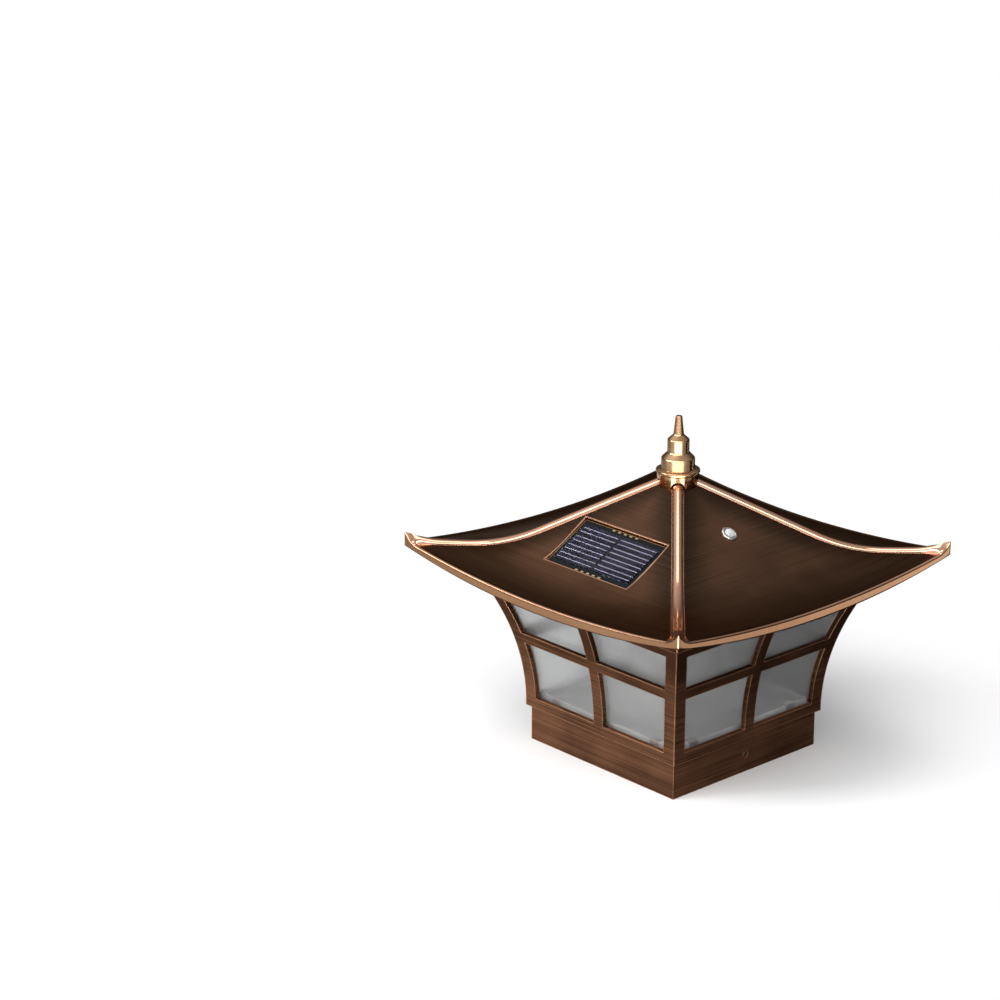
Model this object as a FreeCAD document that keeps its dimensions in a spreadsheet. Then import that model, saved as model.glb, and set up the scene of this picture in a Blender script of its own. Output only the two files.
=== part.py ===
import FreeCAD, Part

import math
import os
import re

import Sketcher
from FreeCAD import Placement, Rotation, Vector

# Solar post cap light: a square collar slips over a deck post, a flared lantern with
# four frosted panes stands on it, and a pagoda roof with a finial covers the lantern.
# Millimetres.  Z is up, the origin is the bottom centre of the collar, and the solar
# panel looks towards -Y.  All heights are above the bottom of the collar unless the
# name says otherwise.

SIZES = {
    # collar that slips over the post
    "collar_inset": 2.2,
    "collar_wall": 2.0,
    "collar_height": 20.0,
    "flange_thick": 2.0,
    "flange_width": 8.0,
    "post_screw_diameter": 4.0,
    "post_screw_height": 10.0,
    # deck plate that closes the collar and carries everything inside
    "deck_thick": 3.4,
    "deck_gap": 0.3,
    "deck_rim_height": 4.0,
    "deck_rim_wall": 1.6,
    "deck_boss_radius": 5.2,
    "deck_boss_height": 10.0,
    "deck_screw_edge": 4.2,
    "deck_screw_radius": 1.4,
    "deck_screw_across_flats": 4.4,
    "deck_screw_head_height": 1.6,
    "screw_gap": 0.1,
    # lantern sides: vertical at the bottom, then flared on one arc
    "lantern_half": 56.2,
    "lantern_height": 72.0,
    "flare_radius": 152.0,
    "flare_start": 2.0,
    "frame_thick": 3.0,
    "corner_post_width": 7.7,
    "mullion_width": 7.0,
    "bottom_rail_height": 5.5,
    "mid_rail_height": 5.7,
    "mid_rail_centre": 40.7,
    "top_rail_height": 5.3,
    "foot_thick": 2.5,
    # frosted panes behind the frames, and the clips that hold their feet
    "pane_thick": 2.0,
    "pane_gap": 0.15,
    "pane_corner_gap": 1.0,
    "pane_top_gap": 1.0,
    "clip_width": 6.0,
    "clip_thick": 0.6,
    "clip_edge": 13.2,
    "clip_space": 0.85,
    "clip_gap": 0.1,
    "clip_hook": 3.2,
    # crown ring that ties the tops of the frames together
    "crown_thick": 2.5,
    "crown_inset": 0.4,
    "crown_lip_height": 5.0,
    "crown_lip_wall": 1.8,
    "crown_lip_gap": 0.3,
    "crown_arm_width": 8.0,
    "crown_hub_radius": 9.0,
    "nut_across_flats": 8.0,
    "nut_height": 4.0,
    "gasket_thick": 1.0,
    "gasket_width": 4.0,
    # centre rod from the deck boss to the finial
    "centre_rod_radius": 2.5,
    "thread_gap": 0.05,
    "rod_pass_gap": 0.6,
    "rod_bottom_gap": 1.0,
    "rod_in_finial": 10.0,
    # roof: a straight upper slope that sweeps out to the eaves; the hips turn up
    "roof_half": 102.4,
    "roof_apex": 153.7,
    "roof_slope": 0.644,
    "roof_wall": 2.6,
    "face_bend_start": 46.0,
    "face_bend_radius": 122.8,
    "face_end_angle": 5.0,
    "hip_bend_start": 52.2,
    "hip_bend_radius": 87.3,
    "hip_end_angle": 0.9,
    "hip_rib_width": 5.8,
    "hip_rib_proud": 1.35,
    "hip_rib_sunk": 2.2,
    "hip_rib_chamfer": 1.3,
    "hip_tip_start": 88.0,
    "hip_tip_radius": 52.0,
    "hip_tip_end": 101.2,
    "fascia_thick": 2.0,
    "fascia_low_middle": 100.1,
    "fascia_low_corner": 110.2,
    "neck_inset": 7.28,
    "neck_wall": 2.5,
    # finial
    "finial_bottom": 146.9,
    "finial_drum_radius": 11.0,
    "finial_flange_radius": 11.7,
    "finial_flange_top": 155.8,
    "finial_flange_thick": 1.6,
    "finial_mid_radius": 8.9,
    "finial_mid_top": 162.0,
    "finial_upper_radius": 5.8,
    "finial_upper_bottom": 165.0,
    "finial_upper_top": 172.1,
    "finial_cone_radius": 2.8,
    "finial_cone_bottom": 174.6,
    "finial_tip_radius": 1.75,
    "finial_top": 184.7,
    "finial_rib_gap": 0.15,
    # solar panel in its recess in the front roof face
    "panel_upper_place": 37.5,
    "panel_tilt": 29.0,
    "panel_half_width": 30.4,
    "panel_length": 33.8,
    "panel_depth": 2.2,
    "panel_tray_wall": 2.0,
    "panel_tray_floor": 1.8,
    "panel_tray_top": 1.5,
    "board_gap": 0.3,
    "solar_board_thick": 0.8,
    "cell_thick": 0.25,
    "cell_length": 26.6,
    "cell_width": 6.0,
    "cell_pitch": 6.4,
    "cell_column_pitch": 28.0,
    "cover_thick": 0.4,
    "cover_margin": 0.6,
    "pad_length": 1.8,
    "pad_width": 0.9,
    "pad_thick": 0.12,
    "pad_pitch": 4.2,
    "pad_edge": 1.2,
    # light sensor in the right roof face
    "sensor_place": 38.2,
    "sensor_bezel_radius": 4.4,
    "sensor_bezel_thick": 0.8,
    "lens_gap": 0.1,
    "sensor_hole_gap": 0.1,
    "lens_radius": 2.75,
    "lens_skirt": 1.0,
    "lens_top_radius": 1.3,
    "lens_rise": 1.4,
    "photocell_half": 1.8,
    "photocell_thick": 1.2,
    # battery housing on the deck
    "housing_half_x": 30.2,
    "housing_half_y": 27.7,
    "housing_height": 20.0,
    "housing_wall": 1.8,
    "battery_radius": 7.1,
    "battery_length": 50.5,
    "battery_cap_radius": 2.8,
    "battery_cap_height": 1.2,
    "battery_place": 13.9,
    "battery_lift": 0.8,
    "contact_thick": 0.5,
    "contact_width": 9.0,
    "contact_bump": 2.4,
    # battery door under the deck, with its hinge pin
    "door_opening_half": 27.3,
    "door_opening_width": 16.8,
    "door_gap": 0.3,
    "door_swing": 100.0,
    "door_thick": 2.0,
    "door_lift": 0.2,
    "hinge_place": 24.0,
    "hinge_lift": 1.7,
    "hinge_barrel_radius": 1.4,
    "hinge_pin_radius": 0.8,
    "hinge_pin_fit": 0.05,
    "hinge_barrel_start": 8.0,
    "hinge_barrel_length": 12.0,
    "hinge_pin_reach": 4.0,
    # circuit board and switch inside the housing
    "board_half_x": 24.0,
    "board_half_y": 8.5,
    "board_place": 15.5,
    "board_thick": 1.6,
    "standoff_half": 2.2,
    "standoff_place": 19.0,
    "switch_half_x": 4.5,
    "switch_half_y": 2.5,
    "switch_height": 4.5,
    "switch_travel": 4.0,
    "knob_length": 3.0,
    "knob_width": 2.2,
    "knob_proud": 1.4,
    "knob_gap": 0.3,
    "chip_length": 6.0,
    "chip_width": 4.0,
    "chip_height": 1.4,
    "capacitor_radius": 2.5,
    "capacitor_height": 6.0,
    # lamp: board with four emitters inside an opal tube
    "led_board_half": 12.0,
    "led_board_thick": 1.6,
    "led_size": 3.6,
    "led_height": 1.3,
    "led_place": 8.5,
    "diffuser_across_flats": 43.0,
    "diffuser_wall": 1.5,
    "diffuser_top_gap": 6.6,
}

doc = FreeCAD.newDocument("post_cap_light")
sheet = doc.addObject("Spreadsheet::Sheet", "dims")
for row, (alias, number) in enumerate(SIZES.items(), start=1):
    sheet.set(f"A{row}", alias)
    sheet.set(f"B{row}", str(number))
    sheet.setAlias(f"B{row}", alias)
doc.recompute()

parts = []
ORIGIN = Vector(0, 0, 0)
UP = Vector(0, 0, 1)
QUARTER_TURNS = (0, 90, 180, 270)
SIDES = ("front", "right", "back", "left")


# ---------------------------------------------------------------- sizes and expressions

def bound(text):
    """An expression in which each named size points at its cell of the sheet."""
    return re.sub(r"[a-z]\w+", lambda word: "dims." + word[0] if word[0] in SIZES else word[0], text)


def size(text):
    """The value of an expression of named sizes."""
    return float(sheet.evalExpression(bound(text)))


def bind(item, **expressions):
    for name, text in expressions.items():
        item.setExpression(name, bound(text))
    return item


def place(item, x, y, z):
    for axis, text in zip("xyz", (x, y, z)):
        item.setExpression("Placement.Base." + axis, bound(text))
    return item


DECK_TOP = "(collar_height + deck_thick)"
LANTERN_TOP = "(collar_height + lantern_height)"
FLARE_LEVEL = "(collar_height + flare_start)"
COLLAR_HALF = "(lantern_half - collar_inset)"
DECK_HALF = "(lantern_half - frame_thick - pane_gap - pane_thick - clip_space)"
CROWN_TOP = f"({LANTERN_TOP} + crown_thick)"
NECK_BOTTOM = f"({CROWN_TOP} + gasket_thick)"
HOUSING_TOP = f"({DECK_TOP} + housing_height)"
FOOT_TOP = "(collar_height + foot_thick)"
ROD_HOLE = "(centre_rod_radius + rod_pass_gap)"
PANE_BACK = "(frame_thick + pane_gap + pane_thick)"


def flare(level, inset="0"):
    """Half-width of the lantern at a level, on the arc that lies `inset` inside its face."""
    return f"(lantern_half + flare_radius - sqrt((flare_radius + {inset})^2 - ({level} - {FLARE_LEVEL})^2))"


# ---------------------------------------------------------------- simple solids

def block(name, xs, ys, zs):
    """A box between a low and a high limit on each axis."""
    item = doc.addObject("Part::Box", name)
    for side, (low, high) in zip(("Length", "Width", "Height"), (xs, ys, zs)):
        bind(item, **{side: f"({high}) - ({low})"})
    return place(item, xs[0], ys[0], zs[0])


def centred(half):
    return (f"-({half})", f"{half}")


def square(name, half, zs):
    return block(name, centred(half), centred(half), zs)


def upright(name, radius, zs, x="0", y="0"):
    """A vertical cylinder."""
    item = doc.addObject("Part::Cylinder", name)
    bind(item, Radius=radius, Height=f"({zs[1]}) - ({zs[0]})")
    return place(item, x, y, zs[0])


def prism(name, sides, across_flats, zs, x="0", y="0", turn=0):
    """A vertical prism on a regular polygon, turned about its own axis."""
    item = doc.addObject("Part::Prism", name)
    item.Polygon = sides
    item.Placement = Placement(ORIGIN, Rotation(UP, turn))
    bind(item, Circumradius=f"({across_flats}) / 2 / cos({180 / sides} deg)", Height=f"({zs[1]}) - ({zs[0]})")
    return place(item, x, y, zs[0])


def along_x(name, radius, xs, y, z):
    """A cylinder that lies along X."""
    item = doc.addObject("Part::Cylinder", name)
    bind(item, Radius=radius, Height=f"({xs[1]}) - ({xs[0]})")
    item.Placement = Placement(ORIGIN, Rotation(Vector(0, 1, 0), 90))
    return place(item, xs[0], y, z)


def fuse(name, *items):
    item = doc.addObject("Part::MultiFuse", name)
    item.Shapes = list(items)
    return item


def cut(name, base, *tools):
    item = doc.addObject("Part::Cut", name)
    item.Base = base
    item.Tool = tools[0] if len(tools) == 1 else fuse(name + "_tools", *tools)
    return item


def group(name, items):
    """Several separate solids kept together as one part."""
    item = doc.addObject("Part::Compound", name)
    item.Links = list(items)
    return item


def part(name, item):
    """Registers an object as the finished part of that name."""
    item.Label = name
    parts.append(item)
    return item


# ---------------------------------------------------------------- sketched bodies

def origin_plane(body, role):
    return next(item for item in body.Origin.OriginFeatures if item.Role == role)


def outline(body, name, role, corners, arcs=None):
    """A closed sketch.  Corners are pairs of expressions.  `arcs` maps the number of a side to
    its centre and radius; each corner at its ends is bound by the one coordinate that fixes it best."""
    arcs = arcs or {}
    sketch = body.newObject("Sketcher::SketchObject", name)
    sketch.AttachmentSupport = [(origin_plane(body, role), "")]
    sketch.MapMode = "FlatFace"
    points = [Vector(size(x), size(y), 0) for x, y in corners]
    count = len(points)
    ends = []
    for side, start in enumerate(points):
        end = points[(side + 1) % count]
        if side in arcs:
            centre = Vector(size(arcs[side][0]), size(arcs[side][1]), 0)
            middle = centre + ((start + end) / 2 - centre).normalize() * (start - centre).Length
            sketch.addGeometry(Part.Arc(start, middle, end))
        else:
            sketch.addGeometry(Part.LineSegment(start, end))
        to_first, to_last = (sketch.getPoint(side, point).distanceToPoint(start) for point in (1, 2))
        ends.append((2, 1) if to_first > to_last else (1, 2))
    for side in range(count):
        after = (side + 1) % count
        sketch.addConstraint(Sketcher.Constraint("Coincident", side, ends[side][1], after, ends[after][0]))

    def hold(kind, label, geometry, point, text):
        """Ties one coordinate of a point, or a radius, to an expression."""
        target = (geometry, size(text)) if kind == "Radius" else (-1, 1, geometry, point, size(text))
        index = sketch.addConstraint(Sketcher.Constraint(kind, *target))
        sketch.renameConstraint(index, label)
        sketch.setExpression("Constraints." + label, bound(text))

    for corner, (x, y) in enumerate(corners):
        arc = arcs.get(corner) or arcs.get((corner - 1) % count)
        steep = arc and abs(size(f"{x} - ({arc[0]})")) > abs(size(f"{y} - ({arc[1]})"))
        if not steep:
            hold("DistanceX", f"x{corner}", corner, ends[corner][0], x)
        if steep or not arc:
            hold("DistanceY", f"y{corner}", corner, ends[corner][0], y)
    for side, (x, y, radius) in arcs.items():
        hold("DistanceX", f"centre_x{side}", side, 3, x)
        hold("DistanceY", f"centre_y{side}", side, 3, y)
        hold("Radius", f"radius{side}", side, 0, radius)
    return sketch


def pad(body, name, sketch, length):
    item = body.newObject("PartDesign::Pad", name)
    item.Profile = sketch
    item.SideType = "Symmetric"
    bind(item, Length=length)
    sketch.Visibility = False
    return item


def pocket_through(body, name, sketch):
    item = body.newObject("PartDesign::Pocket", name)
    item.Profile = sketch
    item.SideType = "Symmetric"
    item.Type = "ThroughAll"
    return item


def mitre(body, name, gap):
    """Cuts both ends of a front panel along the two vertical planes through the corners."""
    near, far = "lantern_half / 2", "2 * lantern_half"
    for side, sign in (("right", ""), ("left", "-")):
        corners = [(f"{sign}({near})", f"-({near}) - {gap}"),
                   (f"{sign}({far})", f"-({far}) - {gap}"),
                   (f"{sign}({far})", f"-({near}) - {gap}")]
        sketch = outline(body, f"{name}_{side}_line", "XY_Plane", corners)
        pocket_through(body, f"{name}_{side}", sketch)


# ---------------------------------------------------------------- collar and deck

def make_post_collar():
    top = "collar_height"
    inside = f"({COLLAR_HALF} - collar_wall)"
    outer = square("collar_outer", COLLAR_HALF, ("0", top))
    socket = square("collar_socket", inside, ("-flange_thick", f"{top} - flange_thick"))
    opening = square("collar_opening", f"{inside} - flange_width", ("0", f"2 * {top}"))
    post_holes = along_x("collar_post_holes", "post_screw_diameter / 2",
                         ("-2 * lantern_half", "2 * lantern_half"), "0", "post_screw_height")
    tools = [socket, opening, post_holes]
    tools += screw_holes("collar_screw_hole", ("0", "2 * collar_height"))
    part("post_collar", cut("post_collar", outer, *tools))


def screw_places():
    """Two opposite corners of the deck."""
    reach = f"({DECK_HALF} - deck_screw_edge)"
    return [(reach, "-" + reach), ("-" + reach, reach)]


def screw_holes(name, zs):
    return [upright(f"{name}_{number}", "deck_screw_radius + screw_gap", zs, x, y)
            for number, (x, y) in enumerate(screw_places())]


def make_deck_screws():
    screws = []
    for number, (x, y) in enumerate(screw_places()):
        shank = upright(f"screw_shank_{number}", "deck_screw_radius",
                        ("collar_height - flange_thick", f"{DECK_TOP} + 0.1"), x, y)
        head = prism(f"screw_head_{number}", 6, "deck_screw_across_flats",
                     (DECK_TOP, f"{DECK_TOP} + deck_screw_head_height"), x, y)
        screws.append(fuse(f"screw_{number}", shank, head))
    part("deck_screws", group("deck_screws", screws))


HINGE_Y = "(-hinge_place)"
HINGE_Z = "(collar_height + hinge_lift)"
BARREL_NOTCH = "(hinge_barrel_radius + door_gap)"
PAST_UPRIGHT = "((door_swing - 90) * 1 deg)"
ARM_NOTCH = (f"((hinge_lift - door_lift) / cos({PAST_UPRIGHT}) + hinge_lift * tan({PAST_UPRIGHT})"
             " + door_gap)")


def barrel_spans():
    """The two stretches of the hinge axis that the door's barrels take."""
    far = "(hinge_barrel_start + hinge_barrel_length)"
    return (("hinge_barrel_start", far), (f"-{far}", "-hinge_barrel_start"))


def make_deck_plate():
    bottom = "collar_height"
    plate = square("deck_sheet", DECK_HALF, (bottom, DECK_TOP))
    rim = cut("deck_rim",
              square("deck_rim_outer", DECK_HALF, (bottom, f"{DECK_TOP} + deck_rim_height")),
              square("deck_rim_inner", f"{DECK_HALF} - deck_rim_wall", ("0", "4 * collar_height")))
    boss = upright("deck_boss", "deck_boss_radius", (bottom, f"{DECK_TOP} + deck_boss_height"))
    standoffs = []
    for number, sign in enumerate(("", "-")):
        post = block(f"deck_standoff_{number}",
                     (f"{sign}standoff_place - standoff_half", f"{sign}standoff_place + standoff_half"),
                     ("board_place - standoff_half", "board_place + standoff_half"),
                     (bottom, f"{DECK_TOP} + switch_height"))
        standoffs.append(post)
    solid = fuse("deck_solid", plate, rim, boss, *standoffs)

    low, high = "0", f"2 * {bottom}"
    door_edge = f"({HINGE_Y} + {BARREL_NOTCH})"
    tools = [block("deck_door_opening", centred("door_opening_half"),
                   (door_edge, f"{door_edge} + door_opening_width"), (low, high))]
    for number, (start, end) in enumerate(barrel_spans()):
        tools.append(block(f"deck_barrel_notch_{number}", (f"{start} - door_gap", f"{end} + door_gap"),
                           (f"{HINGE_Y} - {ARM_NOTCH}", f"{door_edge} + door_gap"), (low, high)))
    pin_reach = "(hinge_barrel_start + hinge_barrel_length + hinge_pin_reach)"
    pin_half = "(hinge_pin_radius + hinge_pin_fit)"
    tools.append(block("deck_pin_groove", centred(pin_reach),
                       (f"{HINGE_Y} - {pin_half}", f"{HINGE_Y} + {pin_half}"),
                       (f"{HINGE_Z} - {pin_half}", f"{HINGE_Z} + {pin_half}")))
    tools.append(upright("deck_rod_hole", "centre_rod_radius + thread_gap",
                         (f"{bottom} + deck_thick", f"{bottom} + 2 * deck_boss_height")))
    slot = "(switch_travel / 2 + knob_length / 2 + knob_gap)"
    tools.append(block("deck_switch_slot", centred(slot),
                       ("board_place - knob_width / 2 - knob_gap", "board_place + knob_width / 2 + knob_gap"),
                       (low, high)))
    tools += screw_holes("deck_screw_hole", (low, high))
    part("deck_plate", cut("deck_plate", solid, *tools))


# ---------------------------------------------------------------- lantern sides

MID_RAIL_LOW = "(collar_height + mid_rail_centre - mid_rail_height / 2)"
MID_RAIL_HIGH = "(collar_height + mid_rail_centre + mid_rail_height / 2)"


def side_arcs(near, far):
    """The arcs of a flared sheet's front and back faces, at two depths behind the lantern's face."""
    centre = ("-(lantern_half + flare_radius)", FLARE_LEVEL)
    return (*centre, f"flare_radius + {near}"), (*centre, f"flare_radius + {far}")


def make_side_frame(side, angle):
    """One lantern side: a flared sheet with four lights between its posts, rails and mullion."""
    body = doc.addObject("PartDesign::Body", f"frame_{side}")
    foot_back = f"-({DECK_HALF} + deck_gap)"
    section = [("-lantern_half", "collar_height"), ("-lantern_half", FLARE_LEVEL),
               (f"-{flare(LANTERN_TOP)}", LANTERN_TOP),
               (f"-{flare(LANTERN_TOP, 'frame_thick')}", LANTERN_TOP),
               (f"-{flare(FOOT_TOP, 'frame_thick')}", FOOT_TOP),
               (foot_back, FOOT_TOP), (foot_back, "collar_height")]
    face_arc, back_arc = side_arcs("0", "frame_thick")
    sketch = outline(body, f"section_{side}", "YZ_Plane", section, {1: face_arc, 3: back_arc})
    pad(body, f"sheet_{side}", sketch, "3 * lantern_half")

    lights = (("lower", "collar_height + bottom_rail_height", MID_RAIL_LOW),
              ("upper", MID_RAIL_HIGH, f"{LANTERN_TOP} - top_rail_height"))
    for row, low, high in lights:
        for column, sign in (("right", ""), ("left", "-")):
            edge = f"{sign}(mullion_width / 2)"
            corners = [(edge, low), (f"{sign}({flare(low)} - corner_post_width)", low),
                       (f"{sign}({flare(high)} - corner_post_width)", high), (edge, high)]
            arc = (f"{sign}(lantern_half + flare_radius - corner_post_width)", FLARE_LEVEL, "flare_radius")
            sketch = outline(body, f"light_line_{row}_{column}_{side}", "XZ_Plane", corners, {1: arc})
            pocket_through(body, f"light_{row}_{column}_{side}", sketch)
    mitre(body, f"frame_mitre_{side}", "0")
    body.Placement = Placement(ORIGIN, Rotation(UP, angle))
    part(f"frame_{side}", body)


def make_pane(side, angle):
    """A frosted pane that follows the flare, standing on the foot of its frame."""
    body = doc.addObject("PartDesign::Body", f"pane_{side}")
    near, far = "(frame_thick + pane_gap)", PANE_BACK
    top = f"({LANTERN_TOP} - pane_top_gap)"
    section = [(f"-{flare(FOOT_TOP, near)}", FOOT_TOP), (f"-{flare(top, near)}", top),
               (f"-{flare(top, far)}", top), (f"-{flare(FOOT_TOP, far)}", FOOT_TOP)]
    face_arc, back_arc = side_arcs(near, far)
    sketch = outline(body, f"pane_section_{side}", "YZ_Plane", section, {0: face_arc, 2: back_arc})
    pad(body, f"pane_sheet_{side}", sketch, "3 * lantern_half")
    mitre(body, f"pane_mitre_{side}", "pane_corner_gap")
    body.Placement = Placement(ORIGIN, Rotation(UP, angle))
    part(f"pane_{side}", body)


def make_pane_clips():
    """Small bent clips, hooked over the deck rim, two behind each pane."""
    leaf_face = f"-({DECK_HALF} + clip_gap)"
    pair = []
    for sign in ("", "-"):
        middle = f"{sign}({DECK_HALF} - clip_edge)"
        xs = (f"{middle} - clip_width / 2", f"{middle} + clip_width / 2")
        rim_top = f"({DECK_TOP} + deck_rim_height)"
        leaf = block("clip_leaf", xs, (f"{leaf_face} - clip_thick", leaf_face),
                     (f"{DECK_TOP} + clip_gap", f"{rim_top} + clip_thick"))
        web = block("clip_web", xs, (f"{leaf_face} - clip_thick", f"{leaf_face} + clip_hook"),
                    (rim_top, f"{rim_top} + clip_thick"))
        pair.append(fuse("clip", leaf, web))
    doc.recompute()
    clips = doc.addObject("Part::Feature", "pane_clips")
    clips.Shape = Part.makeCompound([turned(item.Shape, angle) for item in pair for angle in QUARTER_TURNS])
    part("pane_clips", clips)


def turned(shape, angle):
    """A copy of a shape turned about the vertical axis."""
    copy = shape.copy()
    copy.rotate(ORIGIN, UP, angle)
    return copy


# ---------------------------------------------------------------- crown, rod and nut

LIP_BOTTOM = f"({LANTERN_TOP} - crown_lip_height)"
LIP_HALF = f"({flare(LIP_BOTTOM, PANE_BACK)} - crown_lip_gap)"
LIP_INSIDE = f"({LIP_HALF} - crown_lip_wall)"


def make_crown_ring():
    """A flat ring on the frames, with a lip behind the panes and a spider for the rod."""
    sheet_zs = (LANTERN_TOP, CROWN_TOP)
    ring = cut("crown_frame",
               fuse("crown_blank",
                    square("crown_sheet", f"{flare(LANTERN_TOP)} - crown_inset", sheet_zs),
                    square("crown_lip", LIP_HALF, (LIP_BOTTOM, CROWN_TOP))),
               square("crown_opening", LIP_INSIDE, ("lantern_height / 2", "2 * lantern_height")))
    arms = [block("crown_arm_x", centred(f"{LIP_INSIDE} + crown_lip_wall / 2"),
                  centred("crown_arm_width / 2"), sheet_zs),
            block("crown_arm_y", centred("crown_arm_width / 2"),
                  centred(f"{LIP_INSIDE} + crown_lip_wall / 2"), sheet_zs)]
    hub = upright("crown_hub", "crown_hub_radius", sheet_zs)
    hole = upright("crown_hole", ROD_HOLE, ("lantern_height / 2", "2 * lantern_height"))
    part("crown_ring", cut("crown_ring", fuse("crown_solid", ring, *arms, hub), hole))


def make_crown_nut():
    nut = prism("nut_blank", 6, "nut_across_flats", (CROWN_TOP, f"{CROWN_TOP} + nut_height"))
    hole = upright("nut_hole", "centre_rod_radius + thread_gap",
                   (LANTERN_TOP, f"{CROWN_TOP} + 2 * nut_height"))
    part("crown_nut", cut("crown_nut", nut, hole))


NECK_HALF = f"({flare(LANTERN_TOP)} - neck_inset)"


def make_roof_gasket():
    outer = f"({NECK_HALF} - neck_wall / 2 + gasket_width / 2)"
    outside = square("gasket_outer", outer, (CROWN_TOP, NECK_BOTTOM))
    inside = square("gasket_inner", f"{outer} - gasket_width", ("lantern_height / 2", "2 * lantern_height"))
    part("roof_gasket", cut("roof_gasket", outside, inside))


ROD_TOP = "(finial_bottom + rod_in_finial)"


def make_centre_rod():
    bottom = f"{DECK_TOP} + rod_bottom_gap"
    part("centre_rod", upright("centre_rod", "centre_rod_radius", (bottom, ROD_TOP)))


# ---------------------------------------------------------------- roof

class Sweep:
    """A height that falls on a straight slope, turns on one arc and runs out straight.
    `stretch` turns a distance from the centre into a distance along the section."""

    def __init__(self, start, radius, end_angle, stretch):
        self.stretch = stretch
        self.slope = size("roof_slope") / stretch
        self.start = start * stretch
        self.radius = radius
        self.first = -math.atan(self.slope)
        self.last = math.radians(end_angle)
        self.centre = Vector(self.start - radius * math.sin(self.first), 0,
                             size("roof_apex") - self.slope * self.start + radius * math.cos(self.first))
        self.end = self.centre.x + radius * math.sin(self.last)

    def height(self, distance):
        along = distance * self.stretch
        if along <= self.start:
            return size("roof_apex") - self.slope * along
        if along <= self.end:
            return self.centre.z - math.sqrt(self.radius ** 2 - (along - self.centre.x) ** 2)
        return self.centre.z - self.radius * math.cos(self.last) + (along - self.end) * math.tan(self.last)


def roof_sections():
    """The fall of the roof down the middle of a face, and down a hip."""
    face = Sweep(size("face_bend_start"), size("face_bend_radius"), -size("face_end_angle"), 1)
    hip = Sweep(size("hip_bend_start"), size("hip_bend_radius"), size("hip_end_angle"), math.sqrt(2))
    return face, hip


def roof_height(face, hip, depth, across):
    """Height of the front face, `depth` out from the centre and `across` from its middle line:
    each level line rises from the middle to the hips as a parabola."""
    middle = face.height(depth)
    return middle + (hip.height(depth) - middle) * (across / depth) ** 2


def front_wedge(reach):
    """A tall prism over the quarter of the plan that belongs to the front face."""
    corners = [ORIGIN, Vector(reach, -reach, 0), Vector(-reach, -reach, 0), ORIGIN]
    return Part.Face(Part.makePolygon(corners)).extrude(UP * 2 * reach)


SWEEP_STRIPS = 8


def front_sheets(face, hip, drop):
    """The front face of the roof, flat above the bend and in ruled strips where it sweeps out."""
    half = size("roof_half")

    def level_line(depth):
        line = Part.BSplineCurve()
        line.interpolate([Vector(x, -depth, roof_height(face, hip, depth, x) - drop)
                          for x in (-half, -half / 3, half / 3, half)])
        return line.toShape()

    ridge = Part.LineSegment(Vector(-half, 0, face.height(0) - drop), Vector(half, 0, face.height(0) - drop))
    run = (half - face.start) / SWEEP_STRIPS
    lines = [ridge.toShape()] + [level_line(face.start + run * row) for row in range(SWEEP_STRIPS + 1)]
    return [Part.makeRuledSurface(upper, lower) for upper, lower in zip(lines, lines[1:])]


def thickened(sheets, depth):
    """One solid that reaches down from the sheets."""
    solids = [sheet.extrude(UP * -depth) for sheet in sheets]
    return solids[0].multiFuse(solids[1:])


HIP_FALL = "atan(roof_slope / sqrt(2))"
HIP_LEVEL = "(hip_end_angle * 1 deg)"
BEND_X = f"(sqrt(2) * hip_bend_start + hip_bend_radius * sin({HIP_FALL}))"
BEND_Z = f"(roof_apex - roof_slope * hip_bend_start + hip_bend_radius * cos({HIP_FALL}))"
TIP_X = f"(sqrt(2) * hip_tip_start - hip_tip_radius * sin({HIP_LEVEL}))"
TIP_Z = (f"({BEND_Z} + (hip_tip_radius - hip_bend_radius) * cos({HIP_LEVEL})"
         f" + (sqrt(2) * hip_tip_start - {BEND_X} - hip_bend_radius * sin({HIP_LEVEL})) * tan({HIP_LEVEL}))")
RIB_END = "(sqrt(2) * hip_tip_end)"


def hip_line(rise):
    """Five corners down a hip, `rise` above the roof: from the centre a straight run, the bend,
    a straight run and the arc of the upturned tip.  Also the radii of the bend and the tip."""
    bend, tip = f"(hip_bend_radius - ({rise}))", f"(hip_tip_radius - ({rise}))"
    corners = [("0", f"roof_apex + ({rise}) / cos({HIP_FALL})"),
               (f"{BEND_X} - {bend} * sin({HIP_FALL})", f"{BEND_Z} - {bend} * cos({HIP_FALL})"),
               (f"{BEND_X} + {bend} * sin({HIP_LEVEL})", f"{BEND_Z} - {bend} * cos({HIP_LEVEL})"),
               (f"{TIP_X} + {tip} * sin({HIP_LEVEL})", f"{TIP_Z} - {tip} * cos({HIP_LEVEL})"),
               (RIB_END, f"{TIP_Z} - sqrt({tip}^2 - ({RIB_END} - {TIP_X})^2)")]
    return corners, bend, tip


def crown_edges(web, half):
    """Names of the long upper edges of a rib's web, which lies along X."""
    hip = roof_sections()[1]
    names = []
    for number, edge in enumerate(web.Edges, start=1):
        middle = edge.CenterOfMass
        on_side = abs(abs(middle.y) - half) < 0.01
        if on_side and edge.BoundBox.XLength > 1 and middle.z > hip.height(middle.x / hip.stretch):
            names.append(f"Edge{number}")
    return names


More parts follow.
